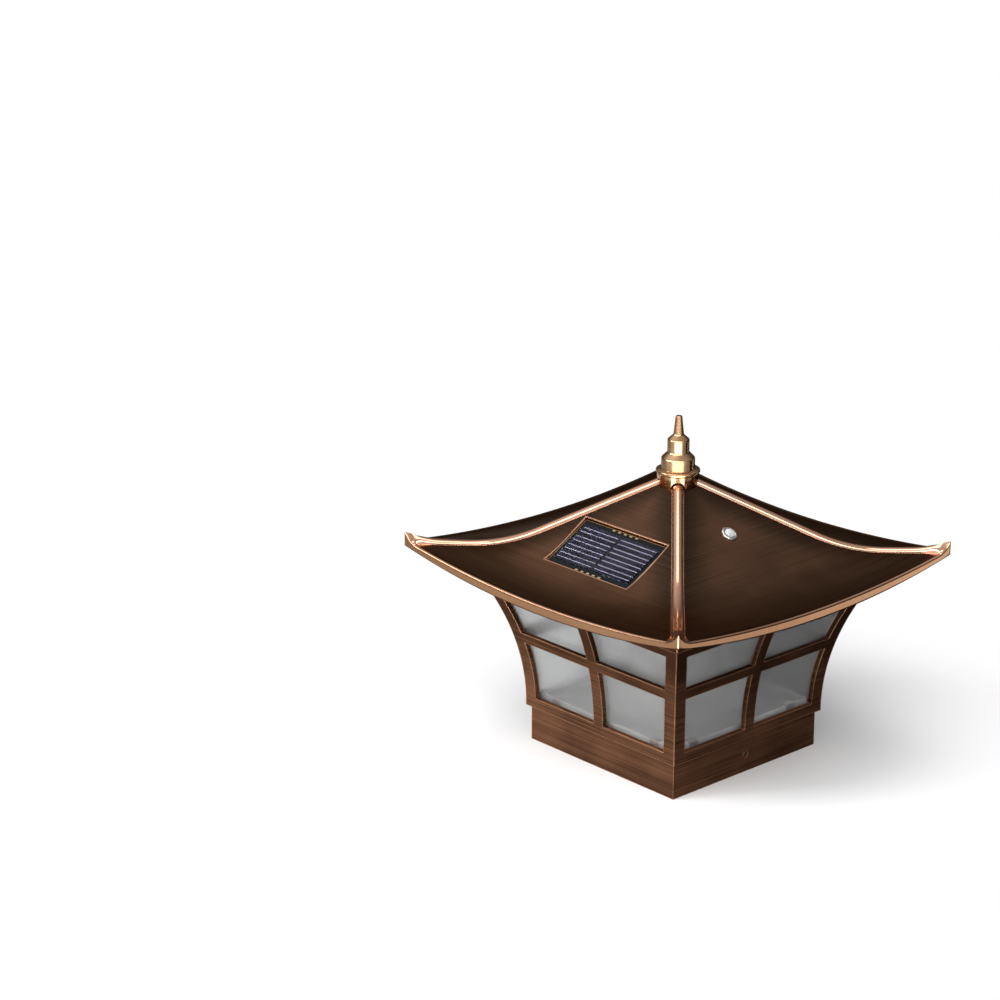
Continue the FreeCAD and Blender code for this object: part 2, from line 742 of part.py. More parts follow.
def hip_ribs(name, gap, chamfered):
    """Ribs down the four hips, grown by a gap at the top and both sides."""
    body = doc.addObject("PartDesign::Body", name)
    upper, upper_bend, upper_tip = hip_line(f"hip_rib_proud + {gap}")
    lower, lower_bend, lower_tip = hip_line("-hip_rib_sunk")
    bend, tip = (BEND_X, BEND_Z), (TIP_X, TIP_Z)
    arcs = {1: (*bend, upper_bend), 3: (*tip, upper_tip), 5: (*tip, lower_tip), 7: (*bend, lower_bend)}
    sketch = outline(body, f"{name}_line", "XZ_Plane", upper + lower[::-1], arcs)
    width = f"(hip_rib_width + 2 * {gap})"
    web = pad(body, f"{name}_web", sketch, width)
    doc.recompute()
    if chamfered:
        crown = body.newObject("PartDesign::Chamfer", f"{name}_crown")
        crown.Base = (web, crown_edges(web.Shape, size(width) / 2))
        bind(crown, Size="hip_rib_chamfer")
    pattern = body.newObject("PartDesign::PolarPattern", f"{name}_pattern")
    pattern.TransformMode = "Whole shape"
    pattern.Axis = (origin_plane(body, "Z_Axis"), [""])
    pattern.Angle = 360
    pattern.Occurrences = len(QUARTER_TURNS)
    body.Tip = pattern
    body.Placement = Placement(ORIGIN, Rotation(UP, 45))
    return body


def fascia_board(face, hip):
    """The upright band under the front eave, with a curved lower edge."""
    half = size("roof_half")
    low_middle, low_corner = size("fascia_low_middle"), size("fascia_low_corner")
    high_middle, high_corner = face.height(half), roof_height(face, hip, half, half)

    def corner(x, z):
        return Vector(x, -half, z)

    low = Part.Arc(corner(-half, low_corner), corner(0, low_middle), corner(half, low_corner))
    right = Part.LineSegment(corner(half, low_corner), corner(half, high_corner))
    high = Part.Arc(corner(half, high_corner), corner(0, high_middle), corner(-half, high_corner))
    left = Part.LineSegment(corner(-half, high_corner), corner(-half, low_corner))
    edges = [line.toShape() for line in (low, right, high, left)]
    return Part.Face(Part.Wire(edges)).extrude(Vector(0, size("fascia_thick"), 0))


def roof_casting():
    """The skin, fascia and neck of the roof in one piece."""
    half = size("roof_half")
    wall = size("roof_wall")
    face, hip = roof_sections()
    wedge = front_wedge(2 * half)
    skin = thickened(front_sheets(face, hip, 0), wall)
    below = thickened(front_sheets(face, hip, wall / 2), half)
    neck_half, neck_wall = size(NECK_HALF), size("neck_wall")
    neck_bottom = size(NECK_BOTTOM)
    neck = Part.makeBox(2 * neck_half, neck_wall, half, Vector(-neck_half, -neck_half, neck_bottom))
    quarter = skin.fuse(neck.common(below)).fuse(fascia_board(face, hip)).common(wedge)

    quarters = [turned(quarter, angle) for angle in QUARTER_TURNS]
    return quarters[0].multiFuse(quarters[1:]).removeSplitter()


PANEL_Y = "(-(panel_upper_place + panel_length / 2 * cos(panel_tilt * 1 deg)))"
PANEL_Z = "(roof_apex - roof_slope * panel_upper_place - panel_length / 2 * sin(panel_tilt * 1 deg))"


def on_panel(name, xs, ys, zs):
    """A box in the frame of the panel: X across, Y up the slope, Z out of the roof."""
    item = doc.addObject("Part::Box", name)
    for side, (low, high) in zip(("Length", "Width", "Height"), (xs, ys, zs)):
        bind(item, **{side: f"({high}) - ({low})"})
    item.Placement = Placement(ORIGIN, Rotation(Vector(1, 0, 0), size("panel_tilt")))
    item.setExpression("Placement.Rotation.Angle", bound("panel_tilt * 1 deg"))
    sine, cosine = "sin(panel_tilt * 1 deg)", "cos(panel_tilt * 1 deg)"
    up, out = f"({ys[0]})", f"({zs[0]})"
    return place(item, xs[0], f"{PANEL_Y} + {up} * {cosine} - {out} * {sine}",
                 f"{PANEL_Z} + {up} * {sine} + {out} * {cosine}")


def on_sensor(kind, name, low, **sizes):
    """A round solid on the sensor's axis, square to the right roof face."""
    item = doc.addObject(kind, name)
    bind(item, **sizes)
    angle = "atan(roof_slope)"
    item.Placement = Placement(ORIGIN, Rotation(Vector(0, 1, 0), math.degrees(math.atan(size("roof_slope")))))
    item.setExpression("Placement.Rotation.Angle", bound(angle))
    return place(item, f"sensor_place + ({low}) * sin({angle})", "0",
                 f"roof_apex - roof_slope * sensor_place + ({low}) * cos({angle})")


def make_roof_shell():
    casting = doc.addObject("Part::Feature", "roof_casting")
    casting.Shape = roof_casting()
    half_length = "(panel_length / 2)"
    tray = on_panel("panel_tray", centred("panel_half_width + panel_tray_wall"),
                    centred(f"({half_length} + panel_tray_wall)"),
                    ("-(panel_depth + panel_tray_floor)", "-panel_tray_top"))
    recess = on_panel("panel_recess", centred("panel_half_width"), centred(half_length),
                      ("-panel_depth", "panel_length / 2"))
    rod_hole = upright("roof_rod_hole", ROD_HOLE, ("roof_apex / 2", "2 * roof_apex"))
    sensor_hole = on_sensor("Part::Cylinder", "roof_sensor_hole", "-4 * roof_wall",
                            Radius="lens_radius + sensor_hole_gap", Height="8 * roof_wall")
    hips, plan = hip_ribs("roof_hips", "0", True), square("roof_plan", "roof_half", ("0", "2 * roof_apex"))
    ribs = doc.addObject("Part::MultiCommon", "roof_ribs")
    ribs.Shapes = [hips, plan]
    solid = fuse("roof_solid", casting, ribs, tray)
    part("roof_shell", cut("roof_shell", solid, recess, rod_hole, sensor_hole))


# ---------------------------------------------------------------- finial

def make_finial():
    body = doc.addObject("PartDesign::Body", "finial_blank")
    corners = [
        ("0", "finial_bottom"), ("finial_drum_radius", "finial_bottom"),
        ("finial_drum_radius", "finial_flange_top - finial_flange_thick"),
        ("finial_flange_radius", "finial_flange_top - finial_flange_thick"),
        ("finial_flange_radius", "finial_flange_top"), ("finial_mid_radius", "finial_flange_top"),
        ("finial_mid_radius", "finial_mid_top"),
        ("finial_upper_radius", "finial_upper_bottom"), ("finial_upper_radius", "finial_upper_top"),
        ("finial_cone_radius", "finial_cone_bottom"),
        ("finial_tip_radius", "finial_top"), ("0", "finial_top")]
    sketch = outline(body, "finial_line", "XZ_Plane", corners)
    turning = body.newObject("PartDesign::Revolution", "finial_turning")
    turning.Profile = sketch
    turning.ReferenceAxis = (sketch, ["V_Axis"])
    turning.Angle = 360

    reach = "(2 * finial_flange_radius)"
    seat = doc.addObject("Part::Wedge", "finial_seat")
    limits = dict(Xmin=f"-{reach}", Xmax=reach, Zmin=f"-{reach}", Zmax=reach, X2min="0", X2max="0",
                  Z2min="0", Z2max="0", Ymin="0", Ymax=f"{reach} * roof_slope")
    bind(seat, **limits)
    seat.Placement = Placement(ORIGIN, Rotation(Vector(1, 0, 0), 90))
    place(seat, "0", "0", f"roof_apex - {reach} * roof_slope")
    ribs = hip_ribs("finial_notch", "finial_rib_gap", False)
    hole = upright("finial_hole", "centre_rod_radius + thread_gap",
                   ("roof_apex / 2", f"{ROD_TOP} + rod_bottom_gap"))
    part("finial", cut("finial", body, seat, ribs, hole))


# ---------------------------------------------------------------- solar panel

FLOOR = "(-panel_depth)"
BOARD_TOP = f"({FLOOR} + solar_board_thick)"


def make_solar_panel():
    board_half = "(panel_half_width - board_gap)"
    board_length = "(panel_length / 2 - board_gap)"
    board = on_panel("solar_board", centred(board_half), centred(board_length), (FLOOR, BOARD_TOP))
    part("solar_board", board)

    cell_top = f"({BOARD_TOP} + cell_thick)"
    cells = []
    for column in (-0.5, 0.5):
        for row in (-1.5, -0.5, 0.5, 1.5):
            x, y = f"{column} * cell_column_pitch", f"{row} * cell_pitch"
            cells.append(on_panel("cell", (f"{x} - cell_length / 2", f"{x} + cell_length / 2"),
                                  (f"{y} - cell_width / 2", f"{y} + cell_width / 2"), (BOARD_TOP, cell_top)))
    part("solar_cells", group("solar_cells", cells))

    cover_half = "(cell_column_pitch / 2 + cell_length / 2 + cover_margin)"
    cover_length = "(1.5 * cell_pitch + cell_width / 2 + cover_margin)"
    part("solar_cover", on_panel("solar_cover", centred(cover_half), centred(cover_length),
                                 (cell_top, f"{cell_top} + cover_thick")))

    pads = []
    for edge in (f"({board_length} - pad_edge)", f"(-{board_length} + pad_edge)"):
        for step in (-2, -1, 0, 1, 2):
            x = f"{step} * pad_pitch"
            pads.append(on_panel("pad", (f"{x} - pad_length / 2", f"{x} + pad_length / 2"),
                                 (f"{edge} - pad_width / 2", f"{edge} + pad_width / 2"),
                                 (BOARD_TOP, f"{BOARD_TOP} + pad_thick")))
    part("solder_pads", group("solder_pads", pads))


# ---------------------------------------------------------------- light sensor

def make_sensor():
    flange = on_sensor("Part::Cylinder", "bezel_flange", "0",
                       Radius="sensor_bezel_radius", Height="sensor_bezel_thick")
    bore = on_sensor("Part::Cylinder", "bezel_bore", "-sensor_bezel_thick",
                     Radius="lens_radius + lens_gap", Height="3 * sensor_bezel_thick")
    part("sensor_bezel", cut("sensor_bezel", flange, bore))

    skirt = on_sensor("Part::Cylinder", "lens_skirt", "-lens_skirt",
                      Radius="lens_radius", Height="lens_skirt + sensor_bezel_thick")
    dome = on_sensor("Part::Cone", "lens_dome", "sensor_bezel_thick",
                     Radius1="lens_radius", Radius2="lens_top_radius", Height="lens_rise")
    part("sensor_lens", fuse("sensor_lens", skirt, dome))
    cell = on_sensor("Part::Prism", "photocell", "-lens_skirt - photocell_thick",
                     Circumradius="sqrt(2) * photocell_half", Height="photocell_thick")
    cell.Polygon = 4
    part("photocell", cell)


# ---------------------------------------------------------------- battery housing and door

def make_battery_housing():
    inner_x, inner_y = "(housing_half_x - housing_wall)", "(housing_half_y - housing_wall)"
    outer = block("housing_outer", centred("housing_half_x"), centred("housing_half_y"),
                  (DECK_TOP, HOUSING_TOP))
    inner = block("housing_inner", centred(inner_x), centred(inner_y),
                  ("collar_height", f"{HOUSING_TOP} - housing_wall"))
    hole = upright("housing_hole", ROD_HOLE, ("collar_height", f"2 * {HOUSING_TOP}"))
    part("battery_housing", cut("battery_housing", outer, inner, hole))


BATTERY_Y = "(-battery_place)"
BATTERY_Z = f"({DECK_TOP} + battery_lift + battery_radius)"


def make_battery():
    end = "(battery_length / 2)"
    can = along_x("battery_can", "battery_radius", (f"-{end}", f"{end} - battery_cap_height"),
                  BATTERY_Y, BATTERY_Z)
    cap = along_x("battery_cap", "battery_cap_radius", ("0", end), BATTERY_Y, BATTERY_Z)
    part("battery_cell", fuse("battery_cell", can, cap))

    contacts = []
    wall = "(housing_half_x - housing_wall)"
    ys = (f"{BATTERY_Y} - contact_width / 2", f"{BATTERY_Y} + contact_width / 2")
    zs = (DECK_TOP, f"{BATTERY_Z} + contact_width / 2")
    for name, sign in (("plus", 1), ("minus", -1)):
        plate_x = (f"{wall} - contact_thick", wall)
        bump_x = (end, wall)
        if sign < 0:
            plate_x = (f"-{wall}", f"-({wall} - contact_thick)")
            bump_x = (f"-{wall}", f"-{end}")
        plate = block(f"contact_plate_{name}", plate_x, ys, zs)
        bump = block(f"contact_bump_{name}", bump_x,
                     (f"{BATTERY_Y} - contact_bump / 2", f"{BATTERY_Y} + contact_bump / 2"),
                     (f"{BATTERY_Z} - contact_bump / 2", f"{BATTERY_Z} + contact_bump / 2"))
        contacts.append(fuse(f"contact_{name}", plate, bump))
    part("battery_contacts", group("battery_contacts", contacts))


def make_battery_door():
    low, high = "(collar_height + door_lift)", "(collar_height + door_lift + door_thick)"
    near = f"({HINGE_Y} + sqrt({BARREL_NOTCH}^2 + hinge_lift^2) + door_gap)"
    far = f"({HINGE_Y} + {BARREL_NOTCH} + door_opening_width - door_gap)"
    panel = block("door_panel", centred("door_opening_half - door_gap"), (near, far), (low, high))
    pieces = [panel]
    for number, (start, end) in enumerate(barrel_spans()):
        pieces.append(along_x(f"door_barrel_{number}", "hinge_barrel_radius", (start, end), HINGE_Y, HINGE_Z))
        pieces.append(block(f"door_arm_{number}", (start, end), (HINGE_Y, f"{near} + door_gap"),
                            (low, f"{low} + door_thick")))
    pin_hole = along_x("door_pin_hole", "hinge_pin_radius + hinge_pin_fit",
                       centred("2 * hinge_place"), HINGE_Y, HINGE_Z)
    part("battery_door", cut("battery_door", fuse("door_solid", *pieces), pin_hole))

    reach = "(hinge_barrel_start + hinge_barrel_length + hinge_pin_reach - door_gap)"
    part("door_pin", along_x("door_pin", "hinge_pin_radius", centred(reach), HINGE_Y, HINGE_Z))


# ---------------------------------------------------------------- circuit board and switch

BOARD_LOW = f"({DECK_TOP} + switch_height)"
BOARD_HIGH = f"({BOARD_LOW} + board_thick)"


def make_circuit():
    ys = ("board_place - board_half_y", "board_place + board_half_y")
    part("circuit_board", block("circuit_board", centred("board_half_x"), ys, (BOARD_LOW, BOARD_HIGH)))
    chip = block("chip", centred("chip_length / 2"),
                 ("board_place - chip_width / 2", "board_place + chip_width / 2"),
                 (BOARD_HIGH, f"{BOARD_HIGH} + chip_height"))
    coil = block("coil", ("-2.5 * chip_length", "-2.5 * chip_length + chip_width"),
                 ("board_place - chip_width / 2", "board_place + chip_width / 2"),
                 (BOARD_HIGH, f"{BOARD_HIGH} + 2 * chip_height"))
    capacitor = upright("capacitor", "capacitor_radius", (BOARD_HIGH, f"{BOARD_HIGH} + capacitor_height"),
                        "2 * chip_length", "board_place")
    part("board_parts", group("board_parts", [chip, coil, capacitor]))


def make_switch():
    ys = ("board_place - switch_half_y", "board_place + switch_half_y")
    part("switch_body", block("switch_body", centred("switch_half_x"), ys, (DECK_TOP, BOARD_LOW)))
    rest = "(-switch_travel / 2)"
    part("switch_knob", block("switch_knob", (f"{rest} - knob_length / 2", f"{rest} + knob_length / 2"),
                              ("board_place - knob_width / 2", "board_place + knob_width / 2"),
                              ("collar_height - knob_proud", DECK_TOP)))


# ---------------------------------------------------------------- lamp

def make_lamp():
    board_top = f"({HOUSING_TOP} + led_board_thick)"
    hole_zs = ("collar_height", f"2 * {HOUSING_TOP}")
    sheet_zs = (HOUSING_TOP, board_top)
    part("led_board", cut("led_board", square("led_board_blank", "led_board_half", sheet_zs),
                          upright("led_board_hole", ROD_HOLE, hole_zs)))
    emitters = []
    for x, y in (("1", "0"), ("0", "1"), ("-1", "0"), ("0", "-1")):
        xs = (f"{x} * led_place - led_size / 2", f"{x} * led_place + led_size / 2")
        ys = (f"{y} * led_place - led_size / 2", f"{y} * led_place + led_size / 2")
        emitters.append(block("emitter", xs, ys, (board_top, f"{board_top} + led_height")))
    part("led_emitters", group("led_emitters", emitters))

    top = f"({LANTERN_TOP} - diffuser_top_gap)"
    sides, turn = 8, 22.5
    outer = prism("diffuser_outer", sides, "diffuser_across_flats", (HOUSING_TOP, top), turn=turn)
    inner = prism("diffuser_inner", sides, "diffuser_across_flats - 2 * diffuser_wall",
                  ("collar_height", f"2 * {top}"), turn=turn)
    part("diffuser", cut("diffuser", outer, inner))


# ---------------------------------------------------------------- build and write

make_post_collar()
make_deck_screws()
make_deck_plate()
for side_name, side_angle in zip(SIDES, QUARTER_TURNS):
    make_side_frame(side_name, side_angle)
    make_pane(side_name, side_angle)
make_pane_clips()
make_crown_ring()
make_crown_nut()
make_roof_gasket()
make_centre_rod()
make_roof_shell()
make_finial()
make_solar_panel()
make_sensor()
make_battery_housing()
make_battery()
make_battery_door()
make_circuit()
make_switch()
make_lamp()

doc.recompute()
for item in doc.Objects:
    if "Invalid" in item.State or "Error" in item.State:
        raise RuntimeError(f"{item.Label} did not build: {item.State}")
for item in parts:
    if item.Shape.isNull() or not item.Shape.isValid() or not item.Shape.Solids:
        raise RuntimeError(f"{item.Label} has no valid solid")

os.makedirs("parts", exist_ok=True)
for item in parts:
    item.Shape.exportStep(f"parts/{item.Label}.step")
    print(f"{item.Label}: {len(item.Shape.Solids)} solid(s), {item.Shape.Volume:.1f} mm3")
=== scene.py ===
import math

import bmesh
import bpy
from mathutils import Matrix, Vector


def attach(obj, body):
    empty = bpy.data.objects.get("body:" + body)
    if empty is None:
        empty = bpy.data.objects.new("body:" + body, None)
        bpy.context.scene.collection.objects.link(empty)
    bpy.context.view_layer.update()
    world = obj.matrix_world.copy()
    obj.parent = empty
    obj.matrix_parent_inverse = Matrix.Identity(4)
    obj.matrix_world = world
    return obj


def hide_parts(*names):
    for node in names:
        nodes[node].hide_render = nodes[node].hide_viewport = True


# Post cap light on a pale floor. The CAD nodes are the object; this script gives them their
# finishes, turns and casts the finer forms of the roof, finial and light sensor, adds the
# printed lines of the solar panel, and sets the light and the camera.
# Blender works in metres. The forms are written in millimetres, in the CAD frame, and the stage
# in metres.

MM = 0.001
ROOT_TWO = math.sqrt(2)
BODY = "lantern"

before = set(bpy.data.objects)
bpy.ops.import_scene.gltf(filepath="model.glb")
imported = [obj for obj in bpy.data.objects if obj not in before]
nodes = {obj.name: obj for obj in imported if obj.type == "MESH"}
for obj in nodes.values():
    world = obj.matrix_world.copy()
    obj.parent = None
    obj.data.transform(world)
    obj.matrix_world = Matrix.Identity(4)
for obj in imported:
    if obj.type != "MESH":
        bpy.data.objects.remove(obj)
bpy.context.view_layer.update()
scene = bpy.context.scene


# ---------------------------------------------------------------- sizes of the forms, in millimetres

# Roof: each face and each hip falls straight from the apex and then turns on an arc.
APEX, SLOPE, WALL, EAVE = 153.7, 0.644, 2.6, 102.4
FACE_START, FACE_RADIUS, FACE_END_DEGREES = 46.0, 122.8, -5.0
HIP_START, HIP_RADIUS, HIP_END_DEGREES = 52.2, 87.3, 0.9
TIP_DEPTH, TIP_RADIUS = 88.0, 52.0
BORE_HALF = 3.2
FASCIA_LOW, FASCIA_CORNER, FASCIA_THICK = 100.1, 110.2, 2.0
CORNER_ROUNDING, ROUNDED_FROM = 0.8, 99
NECK_HALF, NECK_WALL, NECK_BOTTOM, NECK_STEPS = 66.0, 2.5, 95.5, 6

# Hip ribs and rim. A span is two distances from the centre along the hip.
RIB_PROUD, RIB_HALF = 1.35, 2.9
RIB_SWELL, SWELL_SPAN = 0.08, (0, 40)
RIB_WIDER, WIDER_SPAN = 0.35, (60, 120)
FOOT_WIDER, FOOT_SPAN, FOOT_POWER = 3.4, (133, 145), 1.5
TIP_DROP, DROP_SPAN = 0.6, (141.5, 145.5)
BELL_BULGE, BELL_SPAN = 0.8, (135, 143.5)
RIM_WIDTH, RIM_RISE, RIM_OVERLAP = 1.9, 0.6, 0.05
GROOVE = 0.12
# Past its width a rib or the rim dives at a slope, so that the face takes over; where rib and rim
# meet, they melt into each other over a height.
RIB_DIVE, RIM_DIVE, MELT = 0.8, 0.5, 1.8
ON_RIB = 1.0001

# Panel, in its own frame: X across, Y up the slope, Z out of the roof, 0 at the recess's mouth. The
# recess starts at a distance from the roof's middle.
PANEL_TILT = math.radians(29.0)
PANEL_HALF_WIDTH, PANEL_HALF_LENGTH = 30.4, 16.9
PANEL_START = 37.5
PANEL_MIDDLE = Vector((0, -(PANEL_START + PANEL_HALF_LENGTH * math.cos(PANEL_TILT)),
                       APEX - SLOPE * PANEL_START - PANEL_HALF_LENGTH * math.sin(PANEL_TILT)))
PANEL_DEPTH, TRAY_WALL, TRAY_FLOOR, TRAY_TOP = 2.2, 2.0, 1.8, 1.5
RECESS_CUT = 12
BOARD_THICK, CELL_THICK = 0.8, 0.25
BOARD_TOP = BOARD_THICK - PANEL_DEPTH
CELL_TOP = BOARD_TOP + CELL_THICK
CELL_COLUMN, CELL_PITCH, CELL_ROWS = 14.0, 6.4, (-1.5, -0.5, 0.5, 1.5)
CELL_HALF_WIDTH, CELL_HALF_LENGTH = 13.3, 3.0
LINE_HALF_LENGTH, LINE_HALF_WIDTH, LINE_SHIFT, LINE_HEIGHT = 12.9, 0.27, 1.45, 0.03
COVER_MARGIN, COVER_LIFT, COVER_TOP, COVER_EDGE = 0.6, 0.06, 0.4, 0.12
TRACE_INSET, TRACE_WIDTH, TRACE_UPPER, TRACE_HEIGHT, TRACE_GAP = 0.5, 0.25, 0.3, 0.05, 0.01

# Light sensor, on the right roof face.
SENSOR_TILT = math.atan(SLOPE)
SENSOR_PLACE = 38.2
LENS_RADIUS, LENS_FOOT, LENS_RISE, LENS_GAP = 2.75, -1.0, 1.4, 0.1
BEZEL_RADIUS, BEZEL_THICK = 4.4, 0.8
SENSOR_CUT = 9

# Finial: (radius, height) from its foot to its tip, and the arches that its foot leaves for the ribs.
FINIAL = [(0, 146.9), (10.3, 146.9), (10.6, 147.1), (10.75, 147.5), (11.0, 153.7), (11.35, 154.05),
          (11.7, 154.4), (11.7, 155.25), (11.55, 155.6), (11.2, 155.8), (9.3, 155.95), (9.0, 156.1),
          (8.9, 156.4), (8.9, 161.7), (8.8, 162.0), (8.55, 162.3), (6.15, 164.75), (5.9, 165.1),
          (5.8, 165.5), (5.8, 171.6), (5.7, 171.95), (5.5, 172.2), (3.2, 174.25), (2.9, 174.6),
          (2.78, 175.0), (1.8, 184.1), (1.7, 184.45), (1.45, 184.65), (0, 184.7)]
ARCH_RADIUS, ARCH_LENGTH, ARCH_START, ARCH_SUNK = 3.7, 9, 7.5, 3.1

# Sides of the round forms, by their size, and the steps of the lens's arc.
LARGE_ROUND, MIDDLE_ROUND, SMALL_ROUND, ARCH_ROUND, DOME_STEPS = 96, 64, 48, 40, 9


# ---------------------------------------------------------------- camera, as it was found in the photo

PHOTO_PIXELS = 1000
FILM_WIDTH = 36.0
FOCAL_PIXELS = 2921.6
AZIMUTH, ELEVATION, ROLL = (math.radians(a) for a in (44.23, 21.52, 1.28))
DISTANCE = 1.573
TARGET = Vector((0, 0, 54 * MM))
TARGET_PIXEL = (674.2, 648.5)
NEAREST, FARTHEST = 0.05, 50


def make_camera():
    back = Vector((math.sin(AZIMUTH) * math.cos(ELEVATION), -math.cos(AZIMUTH) * math.cos(ELEVATION),
                   math.sin(ELEVATION)))
    forward = -back
    right = forward.cross(Vector((0, 0, 1))).normalized()
    up = right.cross(forward)
    level = Matrix((right, -up, forward))
    roll = Matrix(((math.cos(ROLL), -math.sin(ROLL), 0), (math.sin(ROLL), math.cos(ROLL), 0), (0, 0, 1)))
    off_x, off_y = ((pixel - PHOTO_PIXELS / 2) / FOCAL_PIXELS for pixel in TARGET_PIXEL)
    turn = Vector((0, 0, 1)).rotation_difference(Vector((off_x, off_y, 1))).to_matrix()
    view = turn @ roll @ level
    data = bpy.data.cameras.new("camera")
    data.sensor_width = FILM_WIDTH
    data.lens = FOCAL_PIXELS * FILM_WIDTH / PHOTO_PIXELS
    data.clip_start, data.clip_end = NEAREST, FARTHEST
    camera = bpy.data.objects.new("camera", data)
    scene.collection.objects.link(camera)
    axes = Matrix((view[0], -view[1], -view[2])).transposed()
    camera.matrix_world = Matrix.Translation(TARGET + back * DISTANCE) @ axes.to_4x4()
    scene.camera = camera


# ---------------------------------------------------------------- nodes

class Nodes:
    """Builds the nodes of a material or of the world. Inputs are given as numbers, colours or sockets."""

    def __init__(self, owner):
        owner.use_nodes = True
        self.owner = owner
        self.tree = owner.node_tree
        self.tree.nodes.clear()

    def add(self, kind, settings=None, **inputs):
        """A node. An input is called by its name, with _ for a space, or by its number: i0, i1."""
        node = self.tree.nodes.new("ShaderNode" + kind)
        for key, value in (settings or {}).items():
            setattr(node, key, value)
        for key, value in inputs.items():
            numbered = key[0] == "i" and key[1:].isdigit()
            self.feed(node.inputs[int(key[1:]) if numbered else key.replace("_", " ")], value)
        return node

    def feed(self, socket, value):
        if isinstance(value, bpy.types.NodeSocket):
            self.tree.links.new(value, socket)
        elif isinstance(value, (tuple, list)) and len(value) == 3 and socket.type == "RGBA":
            socket.default_value = (*value, 1)
        else:
            socket.default_value = value

    def maths(self, operation, a, b=0.0):
        return self.add("Math", {"operation": operation}, i0=a, i1=b).outputs[0]

    def times(self, *values):
        result = values[0]
        for value in values[1:]:
            result = self.maths("MULTIPLY", result, value)
        return result

    def dot(self, a, b):
        return self.add("VectorMath", {"operation": "DOT_PRODUCT"}, i0=a, i1=b).outputs["Value"]

    def split(self, vector):
        return self.add("SeparateXYZ", Vector=vector).outputs

    def vector(self, **parts):
        return self.add("CombineXYZ", **parts).outputs[0]

    def position(self):
        return self.add("TexCoord").outputs["Object"]

    def normal(self):
        return self.add("NewGeometry").outputs["Normal"]

    def noise(self, scale, detail=3.0, roughness=0.5, stretch=(1, 1, 1), vector=None):
        """Noise at object coordinates, stretched, or at a vector."""
        vector = vector or self.add("Mapping", Vector=self.position(), Scale=stretch).outputs[0]
        return self.add("TexNoise", Vector=vector, Scale=scale, Detail=detail,
                        Roughness=roughness).outputs["Fac"]

    def ramp(self, value, *stops):
        """A value mapped through (position, colour) stops."""
        node = self.add("ValToRGB", Fac=value)
        ends = node.color_ramp.elements
        for number, (position, colour) in enumerate(stops):
            stop = ends[number] if number < 2 else ends.new(position)
            stop.position = position
            stop.color = (*colour, 1)
        return node.outputs[0]

    def spread(self, value, low, high, to_low=0.0, to_high=1.0, smooth=False):
        """A value between low and high, mapped to a value between to_low and to_high."""
        kind = {"interpolation_type": "SMOOTHSTEP"} if smooth else None
        return self.add("MapRange", kind, Value=value, From_Min=low, From_Max=high,
                        To_Min=to_low, To_Max=to_high).outputs[0]

    def vary(self, noise, low=0.0, high=1.0):
        """Noise, which mostly stays between 0.3 and 0.7, mapped to a range."""
        return self.spread(noise, 0.3, 0.7, low, high)

    def mix(self, factor, a, b):
        """A colour between two others."""
        return self.add("Mix", {"data_type": "RGBA"}, i0=factor, i6=a, i7=b).outputs[2]

    def blend(self, factor, a, b):
        """A number between two others."""
        return self.add("Mix", {"data_type": "FLOAT"}, i0=factor, i2=a, i3=b).outputs[0]

    def bump(self, height, strength, distance, **normal):
        return self.add("Bump", Height=height, Strength=strength, Distance=distance, **normal).outputs[0]

    def soft_edges(self, radius):
        return self.add("Bevel", {"samples": 6}, Radius=radius).outputs[0]

    def edge_wear(self, radius, least, most):
        """Wear where the surface turns within a radius: none on flats, patches of it on edges."""
        bevel = self.add("Bevel", {"samples": 8}, Radius=radius).outputs[0]
        turning = self.spread(self.dot(bevel, self.normal()), 0.995, 0.90)
        return self.times(turning, self.spread(self.noise(160.0, 2.0), 0.3, 0.6, least, most))

    def show(self, shader, output="OutputMaterial"):
        self.add(output, i0=shader)
        return self.owner

    def surface(self, **inputs):
        return self.show(self.add("BsdfPrincipled", **inputs).outputs[0])


def new_finish(name):
    return Nodes(bpy.data.materials.new(name))


# ---------------------------------------------------------------- finishes

GRAIN_DEPTH = 0.05 * MM
BRUSHED_DEPTH = 0.1 * MM
GLASS_IOR = 1.46
EDGE_TINT = (0.62, 0.44, 0.34)
DARK_PATINA, MID_PATINA, RUBBED_PATINA = (0.030, 0.0185, 0.0125), (0.088, 0.050, 0.032), (0.205, 0.105, 0.064)
POLISHED, TARNISHED, DRAWN = (0.87, 0.50, 0.34), (0.58, 0.29, 0.18), (0.34, 0.15, 0.09)
FASCIA_BAND = (0.36, 0.195, 0.097)
# Colours of the finial; the darkest of them is painted shade, laid into its crevices.
BRASSY, BRASSY_DARK, CREVICE_SHADE = (0.77, 0.475, 0.265), (0.60, 0.355, 0.185), (0.12, 0.055, 0.028)


def copper(name, dark, mid, bright, wear, roughness, streak):
    """Antiqued copper: dark patina brushed through along one direction, bright on its edges, and
    with painted shade that darkens it higher up, under the roof."""
    n = new_finish(name)
    brushed = n.noise(1.0, 4.0, 0.6, streak)
    cloud = n.noise(30.0, 4.0, 0.55)
    tone = n.maths("ADD", n.times(brushed, 0.65), n.times(cloud, 0.35))
    height = n.split(n.position())[2]
    # Painted shade: the patina is made darker higher up, towards the overhang of the roof.
    tone = n.maths("SUBTRACT", tone, n.spread(height, 18 * MM, 80 * MM, 0.0, 0.17))
    patina = n.ramp(tone, (0.34, dark), (0.62, mid))
    worn = n.edge_wear(0.8 * MM, wear * 0.45, wear)
    rough = n.vary(brushed, roughness - 0.05, roughness + 0.08)
    return n.surface(Base_Color=n.mix(worn, patina, bright), Metallic=0.8, Roughness=rough,
                     Specular_Tint=EDGE_TINT,
                     Normal=n.bump(brushed, 0.10, BRUSHED_DEPTH, Normal=n.soft_edges(0.35 * MM)))


